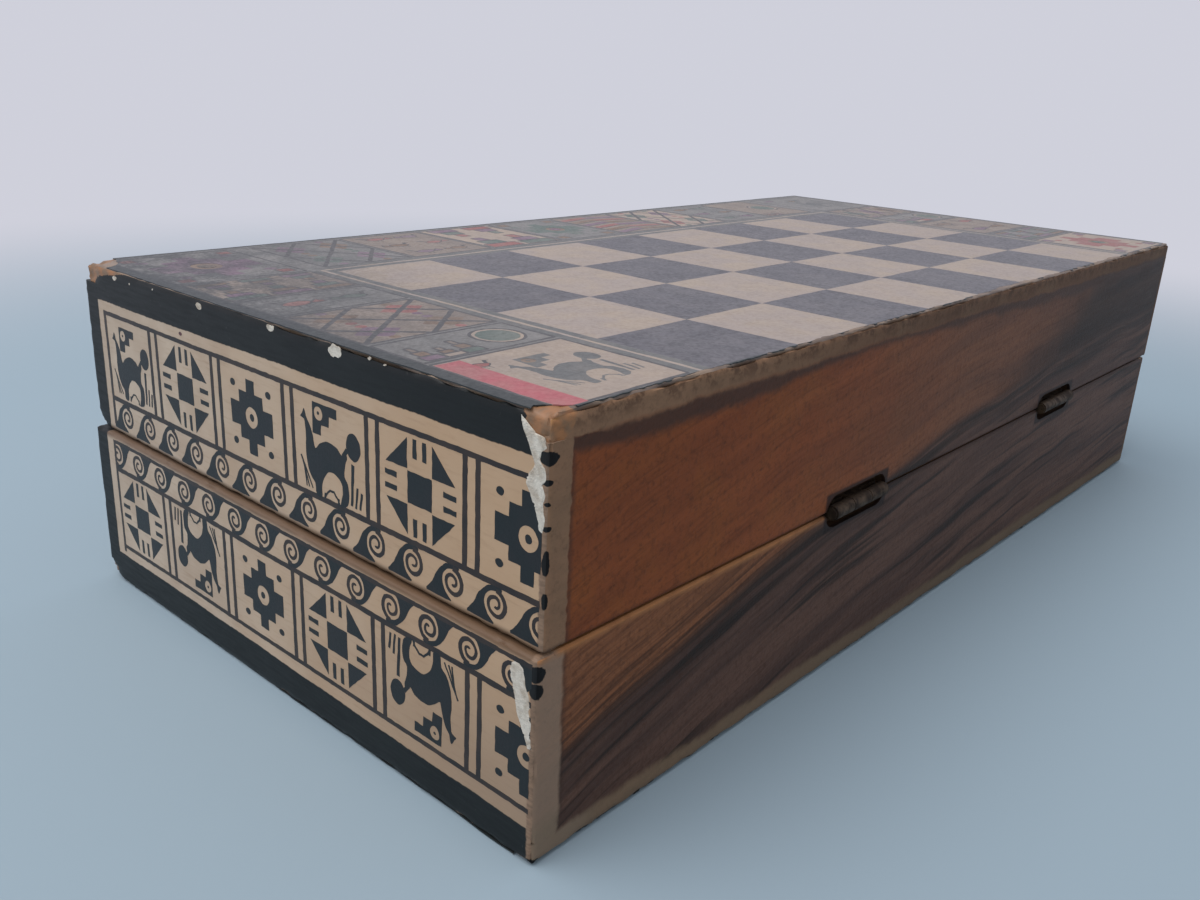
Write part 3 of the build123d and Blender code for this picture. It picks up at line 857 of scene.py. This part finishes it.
class Wear:
    """Rounding and chipping of a block's edges where free says that a side is outside the box.

    free runs over -x, +x, -y, +y, -z, +z, and broken lists corner breaks as (point, reach, depth).
    """

    def __init__(self, low, high, free, radius, broken):
        self.free, self.radius, self.broken = free, radius, broken
        self.core_low = [low[a] + radius * free[2 * a] for a in range(3)]
        self.core_high = [high[a] - radius * free[2 * a + 1] for a in range(3)]
        self.middle = [(a + b) / 2 for a, b in zip(low, high)]

    def rounded(self, p):
        """The grid point on the rounded edge, and how far its colour has worn off."""
        core = Vector([min(max(p[a], self.core_low[a]), self.core_high[a]) for a in range(3)])
        out = p - core
        if out.length == 0:
            return p, 0.0
        second = sorted(abs(c) for c in out)[1] / self.radius
        rough = noise.noise(p / 1.9) * 0.6 + noise.noise(p / 0.7) * 0.4
        hinge_edge = p.y < 0 and min(abs(p.z), abs(p.z - TOTAL_HEIGHT)) < 1
        more, depth = (0.25, 1.5) if hinge_edge else (0.0, 0.75)
        amount = second * max(0.0, rough + more)
        return core + out.normalized() * (self.radius - depth * amount), amount * 0.45

    def inwards(self, point):
        """Direction from a corner towards the block's middle, across its free sides only."""
        pull = []
        for a in range(3):
            is_free = self.free[2 * a + (point[a] > self.middle[a])]
            pull.append(math.copysign(1, self.middle[a] - point[a]) if is_free else 0)
        return Vector(pull)

    def worn(self, p):
        p, amount = self.rounded(p)
        for point, reach, depth in self.broken:
            away = (p - Vector(point)).length + noise.noise(p / 0.9) * 0.9
            if away < reach:
                share = 1 - away / reach
                rough = 0.8 + 0.5 * noise.noise(p / 0.5)
                p = p + self.inwards(point) * depth * min(1.0, share * 1.6) * rough
                amount = max(amount, min(1.0, share * 3))
        return p, amount


def worn_block(name, low, high, pitch, free, sides, body, node, radius, broken):
    """Block that replaces a CAD node; sides gives the paint of -x, +x, -y, +y, -z and +z."""
    lines = [stations(low[a], high[a], pitch) for a in range(3)]
    wear = Wear(low, high, free, radius, broken)
    numbers, faces, kinds = {}, [], []
    for side, keys in surface_cells([len(line) - 1 for line in lines]):
        quad = [numbers.setdefault(key, len(numbers)) for key in keys]
        faces.append(quad if side % 2 else quad[::-1])
        kinds.append(sides[side])
    corners = [wear.worn(Vector([lines[a][key[a]] for a in range(3)])) for key in numbers]
    piece = new_piece(name, [tuple(p) for p, _ in corners], faces, kinds, body)
    attribute = piece.data.attributes.new("worn", "FLOAT", "POINT")
    attribute.data.foreach_set("value", [amount for _, amount in corners])
    piece.data.shade_smooth()
    piece.data.set_sharp_from_angle(angle=math.radians(50))
    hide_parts(node)


# Ends

END_MOTIFS = {"llama": llama, "geometric": geometric_motif, "cross": stepped_cross}
# The order of the motifs on each end, which runs twice
END_ORDERS = {
    ("upper", "near"): ("llama", "geometric", "cross"),
    ("lower", "near"): ("cross", "llama", "geometric"),
    ("upper", "far"): ("cross", "llama", "geometric"),
    ("lower", "far"): ("geometric", "cross", "llama"),
}
# Start of the first panel, of the first wave and of the clear ground beside the band, and a seed
END_LAYOUTS = {"upper": (4.75, 10.0, 5.4, 10.75), "lower": (-6.0, 3.5, None, 0.0)}

# Torn places of the photographed end: u across from the left, v down from the tray's upper edge
TEARS = {
    "upper": [
        (96.0, -0.9), (96.9, -1.6), (97.9, -2.3), (99.2, -2.6), (99.6, -3.4), (98.9, -4.0), (98.6, -4.9),
        (99.4, -5.6), (99.6, -6.6), (99.1, -7.4), (99.5, -8.4), (99.3, -9.6), (99.6, -10.8), (99.3, -12.4),
        (98.8, -12.2), (98.4, -10.6), (97.6, -9.0), (96.8, -7.7), (97.3, -6.5), (98.0, -5.6),
        (97.5, -4.4), (96.9, -3.2), (96.2, -2.0),
    ],
    "lower": [
        (96.3, -1.6), (97.2, -1.1), (98.0, -1.7), (98.3, -3.0), (98.7, -4.2), (99.1, -5.4), (98.9, -6.6),
        (99.3, -7.8), (99.2, -9.2), (99.5, -10.8), (98.9, -11.0), (98.2, -9.4), (97.4, -7.8),
        (96.9, -6.2), (96.6, -4.8), (96.2, -3.4), (96.0, -2.4),
    ],
}
# Middle and half sizes of each speck along the photographed end's upper edge
SPECKS = [
    (65.1, -1.1, 1.25, 0.72), (51.7, -0.95, 0.85, 0.42), (34.5, -0.95, 0.7, 0.42), (10.2, -1.2, 0.55, 0.35),
    (71.6, -0.8, 0.26, 0.2), (74.4, -0.75, 0.2, 0.16), (22.0, -1.1, 0.2, 0.2), (14.8, -1.5, 0.16, 0.16),
]


def tray_z(tray):
    """Outer panel face and rim of a tray."""
    return (0.0, TRAY_HEIGHT) if tray == "lower" else (TOTAL_HEIGHT, TOTAL_HEIGHT - TRAY_HEIGHT)


def end_outline(order, first_panel, first_wave, clear_from):
    """Print of a tray's end as seen with its black band on top: u across, v down from the band."""
    panel_pitch, panel_width, bar_width = 17.1, 14.3, 0.78
    panel_top, panel_bottom, rim = 7.45, 20.15, 25.35
    wave_count, wave_pitch = 16, 6.9
    low, high = -2.0, WIDTH + 2.0
    loops = []
    if clear_from:
        low = clear_from
        loops.append(("line_ink", rectangle(low, low + 0.75, -6.75, -24.9)))
    loops.append(("line_ink", rectangle(low, high, -6.75, -7.4)))
    loops.append(("line_ink", rectangle(low, high, -20.1, -20.85)))
    for number, motif in enumerate(order):
        start = first_panel + number * panel_pitch
        beside_band = clear_from and number == 0
        nudge, size = (0.9, 0.91) if beside_band else (0.0, 0.985)
        middle = start + panel_width / 2 + nudge
        loops += moved(END_MOTIFS[motif]("ink"), middle, -(panel_top + panel_bottom) / 2, size)
        for bar in (start - bar_width, start + panel_width):
            if bar > low + 0.9:
                loops.append(("line_ink", rectangle(bar, bar + bar_width, -7.0, -20.5)))
    for number in range(wave_count):
        loops += moved(wave("ink", "line_ink"), first_wave + wave_pitch * number, -(rim - 2.4), 1.0)
    if clear_from:
        loops.append((BARE, rectangle(-8.0, low, -7.5, -26.5)))
    loops.append((BARE, rectangle(-12.0, WIDTH + 14.0, -rim, -30.0)))
    return loops


def turned_over(loops):
    """Print of a tray that lies the other way up."""
    return [(kind, [(WIDTH - u, -TRAY_HEIGHT - v) for u, v in loop]) for kind, loop in loops]


def end_place(tray, end):
    """Placer for an end: u from its left as seen, v up from the tray's upper edge, h outwards."""
    sign = -1 if end == "near" else 1
    top = TOTAL_HEIGHT if tray == "upper" else TRAY_HEIGHT
    face = sign * (LENGTH / 2 - RECESS) + SHIFTS[tray]

    def place(u, v, h):
        return (face + sign * h, sign * (u - WIDTH / 2), top + v)

    return place


def end_print(tray, end):
    first_panel, first_wave, clear_from, seed = END_LAYOUTS[tray]
    loops = end_outline(END_ORDERS[tray, end] * 2, first_panel, first_wave, clear_from)
    if tray == "lower":
        bare_to, line_to = 5.75, 6.4
        loops = turned_over(loops)
        loops.append((BARE, rectangle(-2.0, bare_to, 0.0, -21.0)))
        loops.append(("line_ink", rectangle(bare_to, line_to, -0.8, -20.0)))
        loops.append(("line_ink", rectangle(line_to, WIDTH, -0.75, -1.3)))
    low, high, wide = 0.9, 99.3, 40.0
    loops.append((BARE, rectangle(low - wide, low, -40.0, 10.0)))
    loops.append((BARE, rectangle(high, high + wide, -40.0, 10.0)))
    if (tray, end) == ("upper", "near"):
        loops.append(("red_dot", ellipse(28.8, -5.9, 0.42, 0.28, 12)))
    place = end_place(tray, end)
    sheet_of(f"{tray}_{end}_end_print", loops, place, f"{tray}_tray", seed=seed)


def crumbled(u, v):
    return 0.05 + 0.07 * (0.5 + noise.noise(Vector((u / 0.7, v / 0.7, 9.0))))


def torn_gesso(tray, outline):
    """Crumbling pale ground where the print has torn off, kept within the end's face."""
    pitch, furthest, highest = 0.31, 99.6, 0.065
    (low_u, high_u), (low_v, high_v) = ((min(values), max(values)) for values in zip(*outline))
    grain = [
        (low_u + pitch * i + 0.11 * (j % 2), low_v + pitch * j)
        for i in range(int((high_u - low_u) / pitch)) for j in range(int((high_v - low_v) / pitch))
    ]
    lift = end_place(tray, "near")

    def place(u, v, h):
        return lift(min(u, furthest), v, min(h, highest))

    sheet_of(
        f"{tray}_torn_gesso", [("gesso", outline)], place, f"{tray}_tray",
        wobble=0.16, pitch=0.3, seed=3.0, relief=crumbled, grain=grain,
    )


def worn_wood(tray):
    """The facings and the board of one tray, worn along their outer edges."""
    body, shift = f"{tray}_tray", SHIFTS[tray]
    outer, rim = tray_z(tray)
    joint = outer + math.copysign(PANEL, rim - outer)
    above = rim > outer
    for end, sign in (("near", -1), ("far", 1)):
        xs = sorted((sign * (LENGTH / 2 - RECESS) + shift, sign * (LENGTH / 2 - FACING) + shift))
        zs = sorted((joint, rim))
        ends = ("end", "inner") if end == "near" else ("inner", "end")
        broken = []
        if (tray, end) == ("upper", "near"):
            broken = [((xs[0], WIDTH / 2, rim), 1.9, 0.5)]
        worn_block(
            f"{tray}_{end}_facing_worn", (xs[0], -WIDTH / 2, zs[0]), (xs[1], WIDTH / 2, zs[1]), 1.0,
            (sign < 0, sign > 0, 1, 1, not above, above), (*ends, "side", "side", "end", "end"),
            body, f"{tray}_{end}_end_facing", 0.4, broken,
        )
    zs = sorted((outer + math.copysign(RECESS, rim - outer), joint))
    low = (-LENGTH / 2 + RECESS + shift, -WIDTH / 2, zs[0])
    high = (LENGTH / 2 - RECESS + shift, WIDTH / 2, zs[1])
    broken = {
        "lower": [((low[0], WIDTH / 2, low[2]), 3.0, 0.6)],
        "upper": [((low[0], -WIDTH / 2, high[2]), 4.4, 0.5), ((low[0], WIDTH / 2, high[2]), 5.0, 0.6)],
    }
    faces = ("board", "inner") if above else ("inner", "board")
    worn_block(
        f"{tray}_board_worn", low, high, 1.25,
        (1, 1, 1, 1, above, not above), ("end", "end", "side", "side", *faces),
        body, f"{tray}_board_panel", 0.6, broken[tray],
    )


for tray, end in END_ORDERS:
    end_print(tray, end)
for tray, outline in TEARS.items():
    torn_gesso(tray, outline)
sheet_of(
    "paint_specks", [("gesso", ellipse(*speck, 14)) for speck in SPECKS], end_place("upper", "near"),
    "upper_tray", wobble=0.3, pitch=0.25, seed=8.0,
)
for tray in SHIFTS:
    worn_wood(tray)


# Board print

def outlined(tone, loop, width=0.35):
    """A shape of one tone with a dark line round it."""
    return [(tone, loop)] + [("outline", straight(a, b, width)) for a, b in sides_of(loop)]


def pyramid(x, y, wide, tall, tones, up=1):
    """Stepped pyramid on its base line, one tone to a step."""
    loops = []
    step = tall / len(tones)
    for level, tone in enumerate(tones):
        half = wide / 2 * (1 - level / len(tones))
        low, high = sorted((y + up * step * level, y + up * step * (level + 0.94)))
        loops += outlined(tone, rectangle(x - half, x + half, low, high))
    return loops


def bird(tone):
    """Small stepped bird, as woven ones are drawn."""
    body = curved([(-2.6, 0.4), (-1.2, 1.5), (1.0, 1.3), (2.4, 0.2), (1.0, -1.2), (-1.2, -1.0)])
    tail = [(-2.4, 0.2), (-4.0, 1.6), (-4.0, 0.6), (-4.6, 0.6), (-4.6, -0.4), (-2.4, -0.6)]
    strokes = [((2.0, 0.8), (2.9, 2.6), 0.8), ((2.7, 2.5), (4.0, 2.3), 0.6, 0.4)]
    strokes += [((x, -1.1), (x + 0.3, -2.8), 0.3) for x in (-0.6, 0.6)]
    return outlined(tone, body) + outlined(tone, tail) + [("outline", straight(*line)) for line in strokes]


class Picture:
    """One field of the border, with the tones that its pattern uses; turn varies them."""

    def __init__(self, x0, x1, y0, y1, ground, turn):
        self.x0, self.x1, self.y0, self.y1, self.ground = x0, x1, y0, y1, ground
        self.x, self.y = (x0 + x1) / 2, (y0 + y1) / 2
        self.wide, self.tall = x1 - x0, y1 - y0
        self.tones = ("brick", "moss", "mauve", "brown", "brick")[turn % 3:][:3]


def lattice(field):
    loops, tones = [], field.tones
    across, along = max(1, round(field.wide / 9.0)), max(1, round(field.tall / 9.0))
    dx, dy = field.wide / across, field.tall / along
    for i in range(across):
        for j in range(along):
            x, y = field.x0 + dx * (i + 0.5), field.y0 + dy * (j + 0.5)
            low, high, left, right = y - dy / 2, y + dy / 2, x - dx / 2, x + dx / 2
            diamond = [(x - dx * 0.34, y), (x, y - dy * 0.34), (x + dx * 0.34, y), (x, y + dy * 0.34)]
            loops += [
                (tones[(i + j) % 3], diamond),
                (field.ground, ellipse(x, y, dx * 0.1, dy * 0.1, 12)),
                ("outline", straight((left, low), (right, high), 0.75)),
                ("outline", straight((left, high), (right, low), 0.75)),
                (tones[(i + j + 1) % 3], ellipse(x, low + 1.0, 0.8, 0.7, 12)),
                (tones[(i + j + 2) % 3], ellipse(x, high - 1.0, 0.8, 0.7, 12)),
            ]
    return loops


def steps(field):
    loops = []
    count = max(1, round(field.wide / 7.0))
    pitch = field.wide / count
    for i in range(count):
        x = field.x0 + pitch * (i + 0.5)
        shades = [field.tones[(i + k) % 3] for k in range(3)]
        loops += pyramid(x, field.y0 + 0.5, pitch * 0.86, field.tall * 0.46, shades)
        loops += pyramid(x + pitch * 0.02, field.y1 - 0.5, pitch * 0.7, field.tall * 0.4, shades[::-1], -1)
    return loops


def chevrons(field):
    loops = []
    count = max(3, round(field.tall / 3.6))
    step = field.tall / (count + 0.5)
    for i in range(count):
        low = field.y0 + i * step + 0.4
        for side, a in enumerate((field.x0 + 0.4, field.x1 - 0.4)):
            b = field.x
            band = [(a, low), (b, low + step * 0.5), (b, low + step * 1.1), (a, low + step * 0.6)]
            loops.append((field.tones[(i + side) % 3], band))
            loops.append(("outline", straight(*band[:2], 0.4)))
    return loops


def sun(field):
    """A ringed sun beside three stepped pyramids."""
    radius = min(field.wide * 0.24, field.tall * 0.38)
    middle = field.x1 - radius - 1.4
    rings = (("outline", 1.0), ("tan", 0.88), ("moss", 0.76))
    loops = [(tone, ellipse(middle, field.y, radius * share, radius * share)) for tone, share in rings]
    part = (field.wide - 2 * radius - 4.0) / 3
    for i, tone in enumerate((field.tones[1], "tan", field.tones[0])):
        left = field.x0 + 1.0 + part * i
        height = min(field.tall * 0.8, part * 1.9) * (1 - 0.28 * (i % 2))
        shades = (tone, field.tones[2], "sand")
        loops += pyramid(left + part / 2, field.y0 + 0.5, part * 0.95, height, shades)
    return loops


def cross(field):
    size = min(field.wide, field.tall) / 12.5
    motif = stepped_cross(field.tones[0]) + [(field.tones[1], ellipse(0, 0, 0.9, 0.9, 14))]
    loops = moved(motif, field.x, field.y, size)
    for x in (field.x0 + 2.2, field.x1 - 2.2):
        for y in (field.y0 + 2.2, field.y1 - 2.2):
            loops += outlined(field.tones[2], rectangle(x - 1.2, x + 1.2, y - 1.1, y + 1.1), 0.3)
    return loops


def birds(field):
    loops = []
    count = max(1, round(field.tall / 8.0))
    for i in range(count):
        y = field.y0 + field.tall * (i + 0.5) / count
        flip = 1 if i % 2 else -1
        first, second = bird(field.tones[i % 3]), bird(field.tones[(i + 1) % 3])
        loops += moved(first, field.x - field.wide * 0.2, y, min(1.0, field.wide / 22), flip)
        loops += moved(second, field.x + field.wide * 0.25, y, min(0.9, field.wide / 24), -flip)
    return loops


def llama_and_bird(field):
    loops = moved(llama("grey"), field.x + 1.8, field.y + 0.4, min(field.wide, field.tall) / 20)
    return loops + moved(bird(field.tones[0]), field.x0 + 4.6, field.y1 - 3.4, 0.55)


def border_picture(draw, x0, x1, y0, y1, ground, turn):
    """One framed picture of the border, of folk patterns only."""
    loops = [(ground, rectangle(x0, x1, y0, y1))] + draw(Picture(x0, x1, y0, y1, ground, turn))
    loops += [("outline", straight((x0, y), (x1, y), 0.5)) for y in (y0, y1)]
    loops += [("outline", straight((x, y0), (x, y1), 0.5)) for x in (x0, x1)]
    return loops


def worn_depth(u):
    """How far the print is gone from the hinge edge at a place along the board."""
    slow = max(0.0, noise.noise(Vector((u / 7.0, 1.7, 0))))
    quick = noise.noise(Vector((u / 1.3, 4.1, 0)))
    return max(0.3, 0.55 + 1.5 * slow + 0.45 * quick)


def squares(first_dark):
    """The squares, and the two lines that run round them."""
    squares_end, back = BOARD_START + SQUARES_ALONG * SQUARE, SQUARES_ACROSS * SQUARE
    loops = []
    for i in range(SQUARES_ALONG):
        for j in range(SQUARES_ACROSS):
            tone = "dark" if (i + j) % 2 == (0 if first_dark else 1) else "light"
            x, y = BOARD_START + i * SQUARE, j * SQUARE
            loops.append((tone, rectangle(x, x + SQUARE, max(y, 0.5), y + SQUARE)))
    for gap, tone, width in ((1.8, "grey", 3.4), (1.7, "light", 0.6)):
        left, right, top = BOARD_START - gap, squares_end + gap, back + gap
        loops += [(tone, straight((x, 0.5), (x, top), width)) for x in (left, right)]
        loops.append((tone, straight((left, top), (right, top), width)))
    return loops


def border(near_pictures, far_pictures, back_pictures):
    """Pictures beside the squares at both ends of the board, and along its back."""
    squares_end, back = BOARD_START + SQUARES_ALONG * SQUARE, SQUARES_ACROSS * SQUARE
    loops = []
    rows = (0.7, 21.5, 32.0, 50.0, 61.0, 74.5, WIDTH - 2.2)
    columns = ((2.4, BOARD_START - 3.6, near_pictures), (squares_end + 3.6, LENGTH - 2.4, far_pictures))
    for x0, x1, pictures in columns:
        for turn, (draw, low, high) in enumerate(zip(pictures, rows, rows[1:])):
            ground = "tan" if turn == 0 else ("sand", "stone")[turn % 2]
            loops += border_picture(draw, x0, x1, low + 0.3, high - 0.6, ground, turn)
    pitch = SQUARES_ALONG * SQUARE / len(back_pictures)
    for number, draw in enumerate(back_pictures):
        x0, x1 = BOARD_START + number * pitch + 0.4, BOARD_START + number * pitch + pitch - 0.4
        ground = ("stone", "sand", "tan")[number % 3]
        loops += border_picture(draw, x0, x1, back + 3.9, WIDTH - 2.5, ground, number + 1)
    return loops


def edges_and_wear():
    """Dark lines along the board's edges, and the print worn off by the hinges and near corners."""
    loops = [
        ("pink", rectangle(2.7, 6.4, 1.0, 20.5)),
        ("edge", rectangle(0.3, 2.2, 0.5, WIDTH - 0.7)),
        ("edge", rectangle(0.5, LENGTH - 0.6, WIDTH - 1.5, WIDTH - 0.6)),
        ("edge", rectangle(LENGTH - 1.5, LENGTH - 0.5, 0.5, WIDTH - 0.7)),
    ]
    line_points, wear_points = range(103), range(417)
    edge = [(3.0 + 1.9 * i, 0.5 + 0.35 * noise.noise(Vector((i * 0.9, 3.3, 0)))) for i in line_points]
    widths = [0.34 + 0.5 * abs(noise.noise(Vector((i * 0.7, 0, 0)))) for i in line_points]
    loops.append(("edge", stroke(edge, widths)))
    worn_edge = [(0.5 * i - 4, worn_depth(0.5 * i)) for i in wear_points]
    loops.append((BARE, worn_edge + [(LENGTH + 4, -4.0), (-4.0, -4.0)]))
    for middle, along, across in ((0.0, 4.3, 3.2), (WIDTH, 4.4, 7.4)):
        torn = []
        for i in range(24):
            angle = math.pi * i / 12
            reach_along = along + 0.8 * noise.noise(Vector((i * 0.8, middle, 0)))
            reach_across = across + 0.8 * noise.noise(Vector((i * 0.9, middle, 5)))
            torn.append((reach_along * math.cos(angle), middle + reach_across * math.sin(angle)))
        loops.append((BARE, torn))
    return loops


def board_print(tray, seed, first_dark, *pictures):
    """Half of the board: u from the near end, v from the hinge side."""
    outer, rim = tray_z(tray)
    up = 1 if outer > rim else -1

    def place(u, v, h):
        return (u - LENGTH / 2 + SHIFTS[tray], v - WIDTH / 2, outer + up * (h - RECESS))

    loops = [("stone", rectangle(0.6, LENGTH - 0.6, 0.5, WIDTH - 0.7))]
    loops += squares(first_dark) + border(*pictures) + edges_and_wear()
    sheet_of(f"{tray}_board_print", loops, place, f"{tray}_tray", 0.12, 1.6, seed)


board_print(
    "upper", 2.0, True,
    (llama_and_bird, sun, lattice, birds, steps, cross),
    (cross, steps, birds, sun, lattice, llama_and_bird),
    (lattice, birds, steps, cross, chevrons, lattice, birds, sun),
)
board_print(
    "lower", 6.0, False,
    (cross, birds, lattice, sun, steps, llama_and_bird),
    (llama_and_bird, lattice, birds, sun, chevrons, cross),
    (chevrons, cross, lattice, birds, steps, sun, birds, lattice),
)


# Stage

BACKDROP = srgb(206, 207, 218)


def linked(name, data):
    """A new object of the scene."""
    item = bpy.data.objects.new(name, data)
    bpy.context.scene.collection.objects.link(item)
    return item


def floor_material():
    """Pale floor that turns paler behind the object, and meets the backdrop without a line."""
    paint = Paint("floor")
    far = (paint.x * paint.x + paint.y * paint.y).calc("SQRT").step(170.0, 470.0)
    paint.finish(srgb(150, 167, 179), 0.7, specular=0.2)
    glow = paint.coloured("ShaderNodeEmission", BACKDROP)
    paint.show("Material Output", paint.backdrop_seen() * far, paint.shader, glow)
    return paint.material


floor_reach, floor_height = 6.0, -0.0001
corners = rectangle(-floor_reach, floor_reach, -floor_reach, floor_reach)
floor_mesh = bpy.data.meshes.new("floor")
floor_mesh.from_pydata([(x, y, floor_height) for x, y in corners], [], [(0, 1, 2, 3)])
floor_mesh.materials.append(floor_material())
floor = linked("floor", floor_mesh)

world = bpy.data.worlds.new("studio")
bpy.context.scene.world = world
sky = Nodes(world)
surround = sky.tree.nodes["Background"]
surround.inputs["Color"].default_value = (0.86, 0.92, 1.0, 1.0)
surround.inputs["Strength"].default_value = 0.55
backdrop = sky.coloured("ShaderNodeBackground", BACKDROP)
sky.show("World Output", sky.backdrop_seen(), surround, backdrop)

# Each lamp's place, power and colour. The back fill stays out of the board's gloss.
LAMPS = {
    "key": ((-0.4, 0.14, 0.85), 6.6, (1.0, 0.98, 0.96)),
    "fill": ((-0.9, -0.5, 0.45), 0.8, (1.0, 0.98, 0.95)),
    "back_fill": ((1.0, 0.12, 0.34), 1.5, (1.0, 0.98, 0.96)),
}
LAMP_SIZE = 0.9
for name, (place, power, colour) in LAMPS.items():
    lamp = bpy.data.lights.new(name, "AREA")
    lamp.shape = "DISK"
    lamp.size = LAMP_SIZE
    lamp.energy = power
    lamp.color = colour
    light = linked(name, lamp)
    light.location = place
    light.rotation_mode = "QUATERNION"
    light.rotation_quaternion = (-Vector(place)).to_track_quat("-Z", "Y")
    light.visible_glossy = name != "back_fill"

camera_data = bpy.data.cameras.new("camera")
camera_data.lens = 32.33
camera_data.sensor_width = 36.0
camera_data.clip_start = 0.005
camera = linked("camera", camera_data)
camera_place = Vector((-0.16935, -0.1176, 0.08344))
forward = Vector((0.71076, 0.61981, -0.33264))
above = Vector((0.21754, 0.25603, 0.94188))
right = forward.cross(above).normalized()
above = right.cross(forward).normalized()
turn = Matrix((right, above, -forward.normalized())).transposed()
camera.matrix_world = Matrix.Translation(camera_place) @ turn.to_4x4()
bpy.context.scene.camera = camera
bpy.context.scene.view_settings.view_transform = "Standard"

bpy.context.view_layer.update()
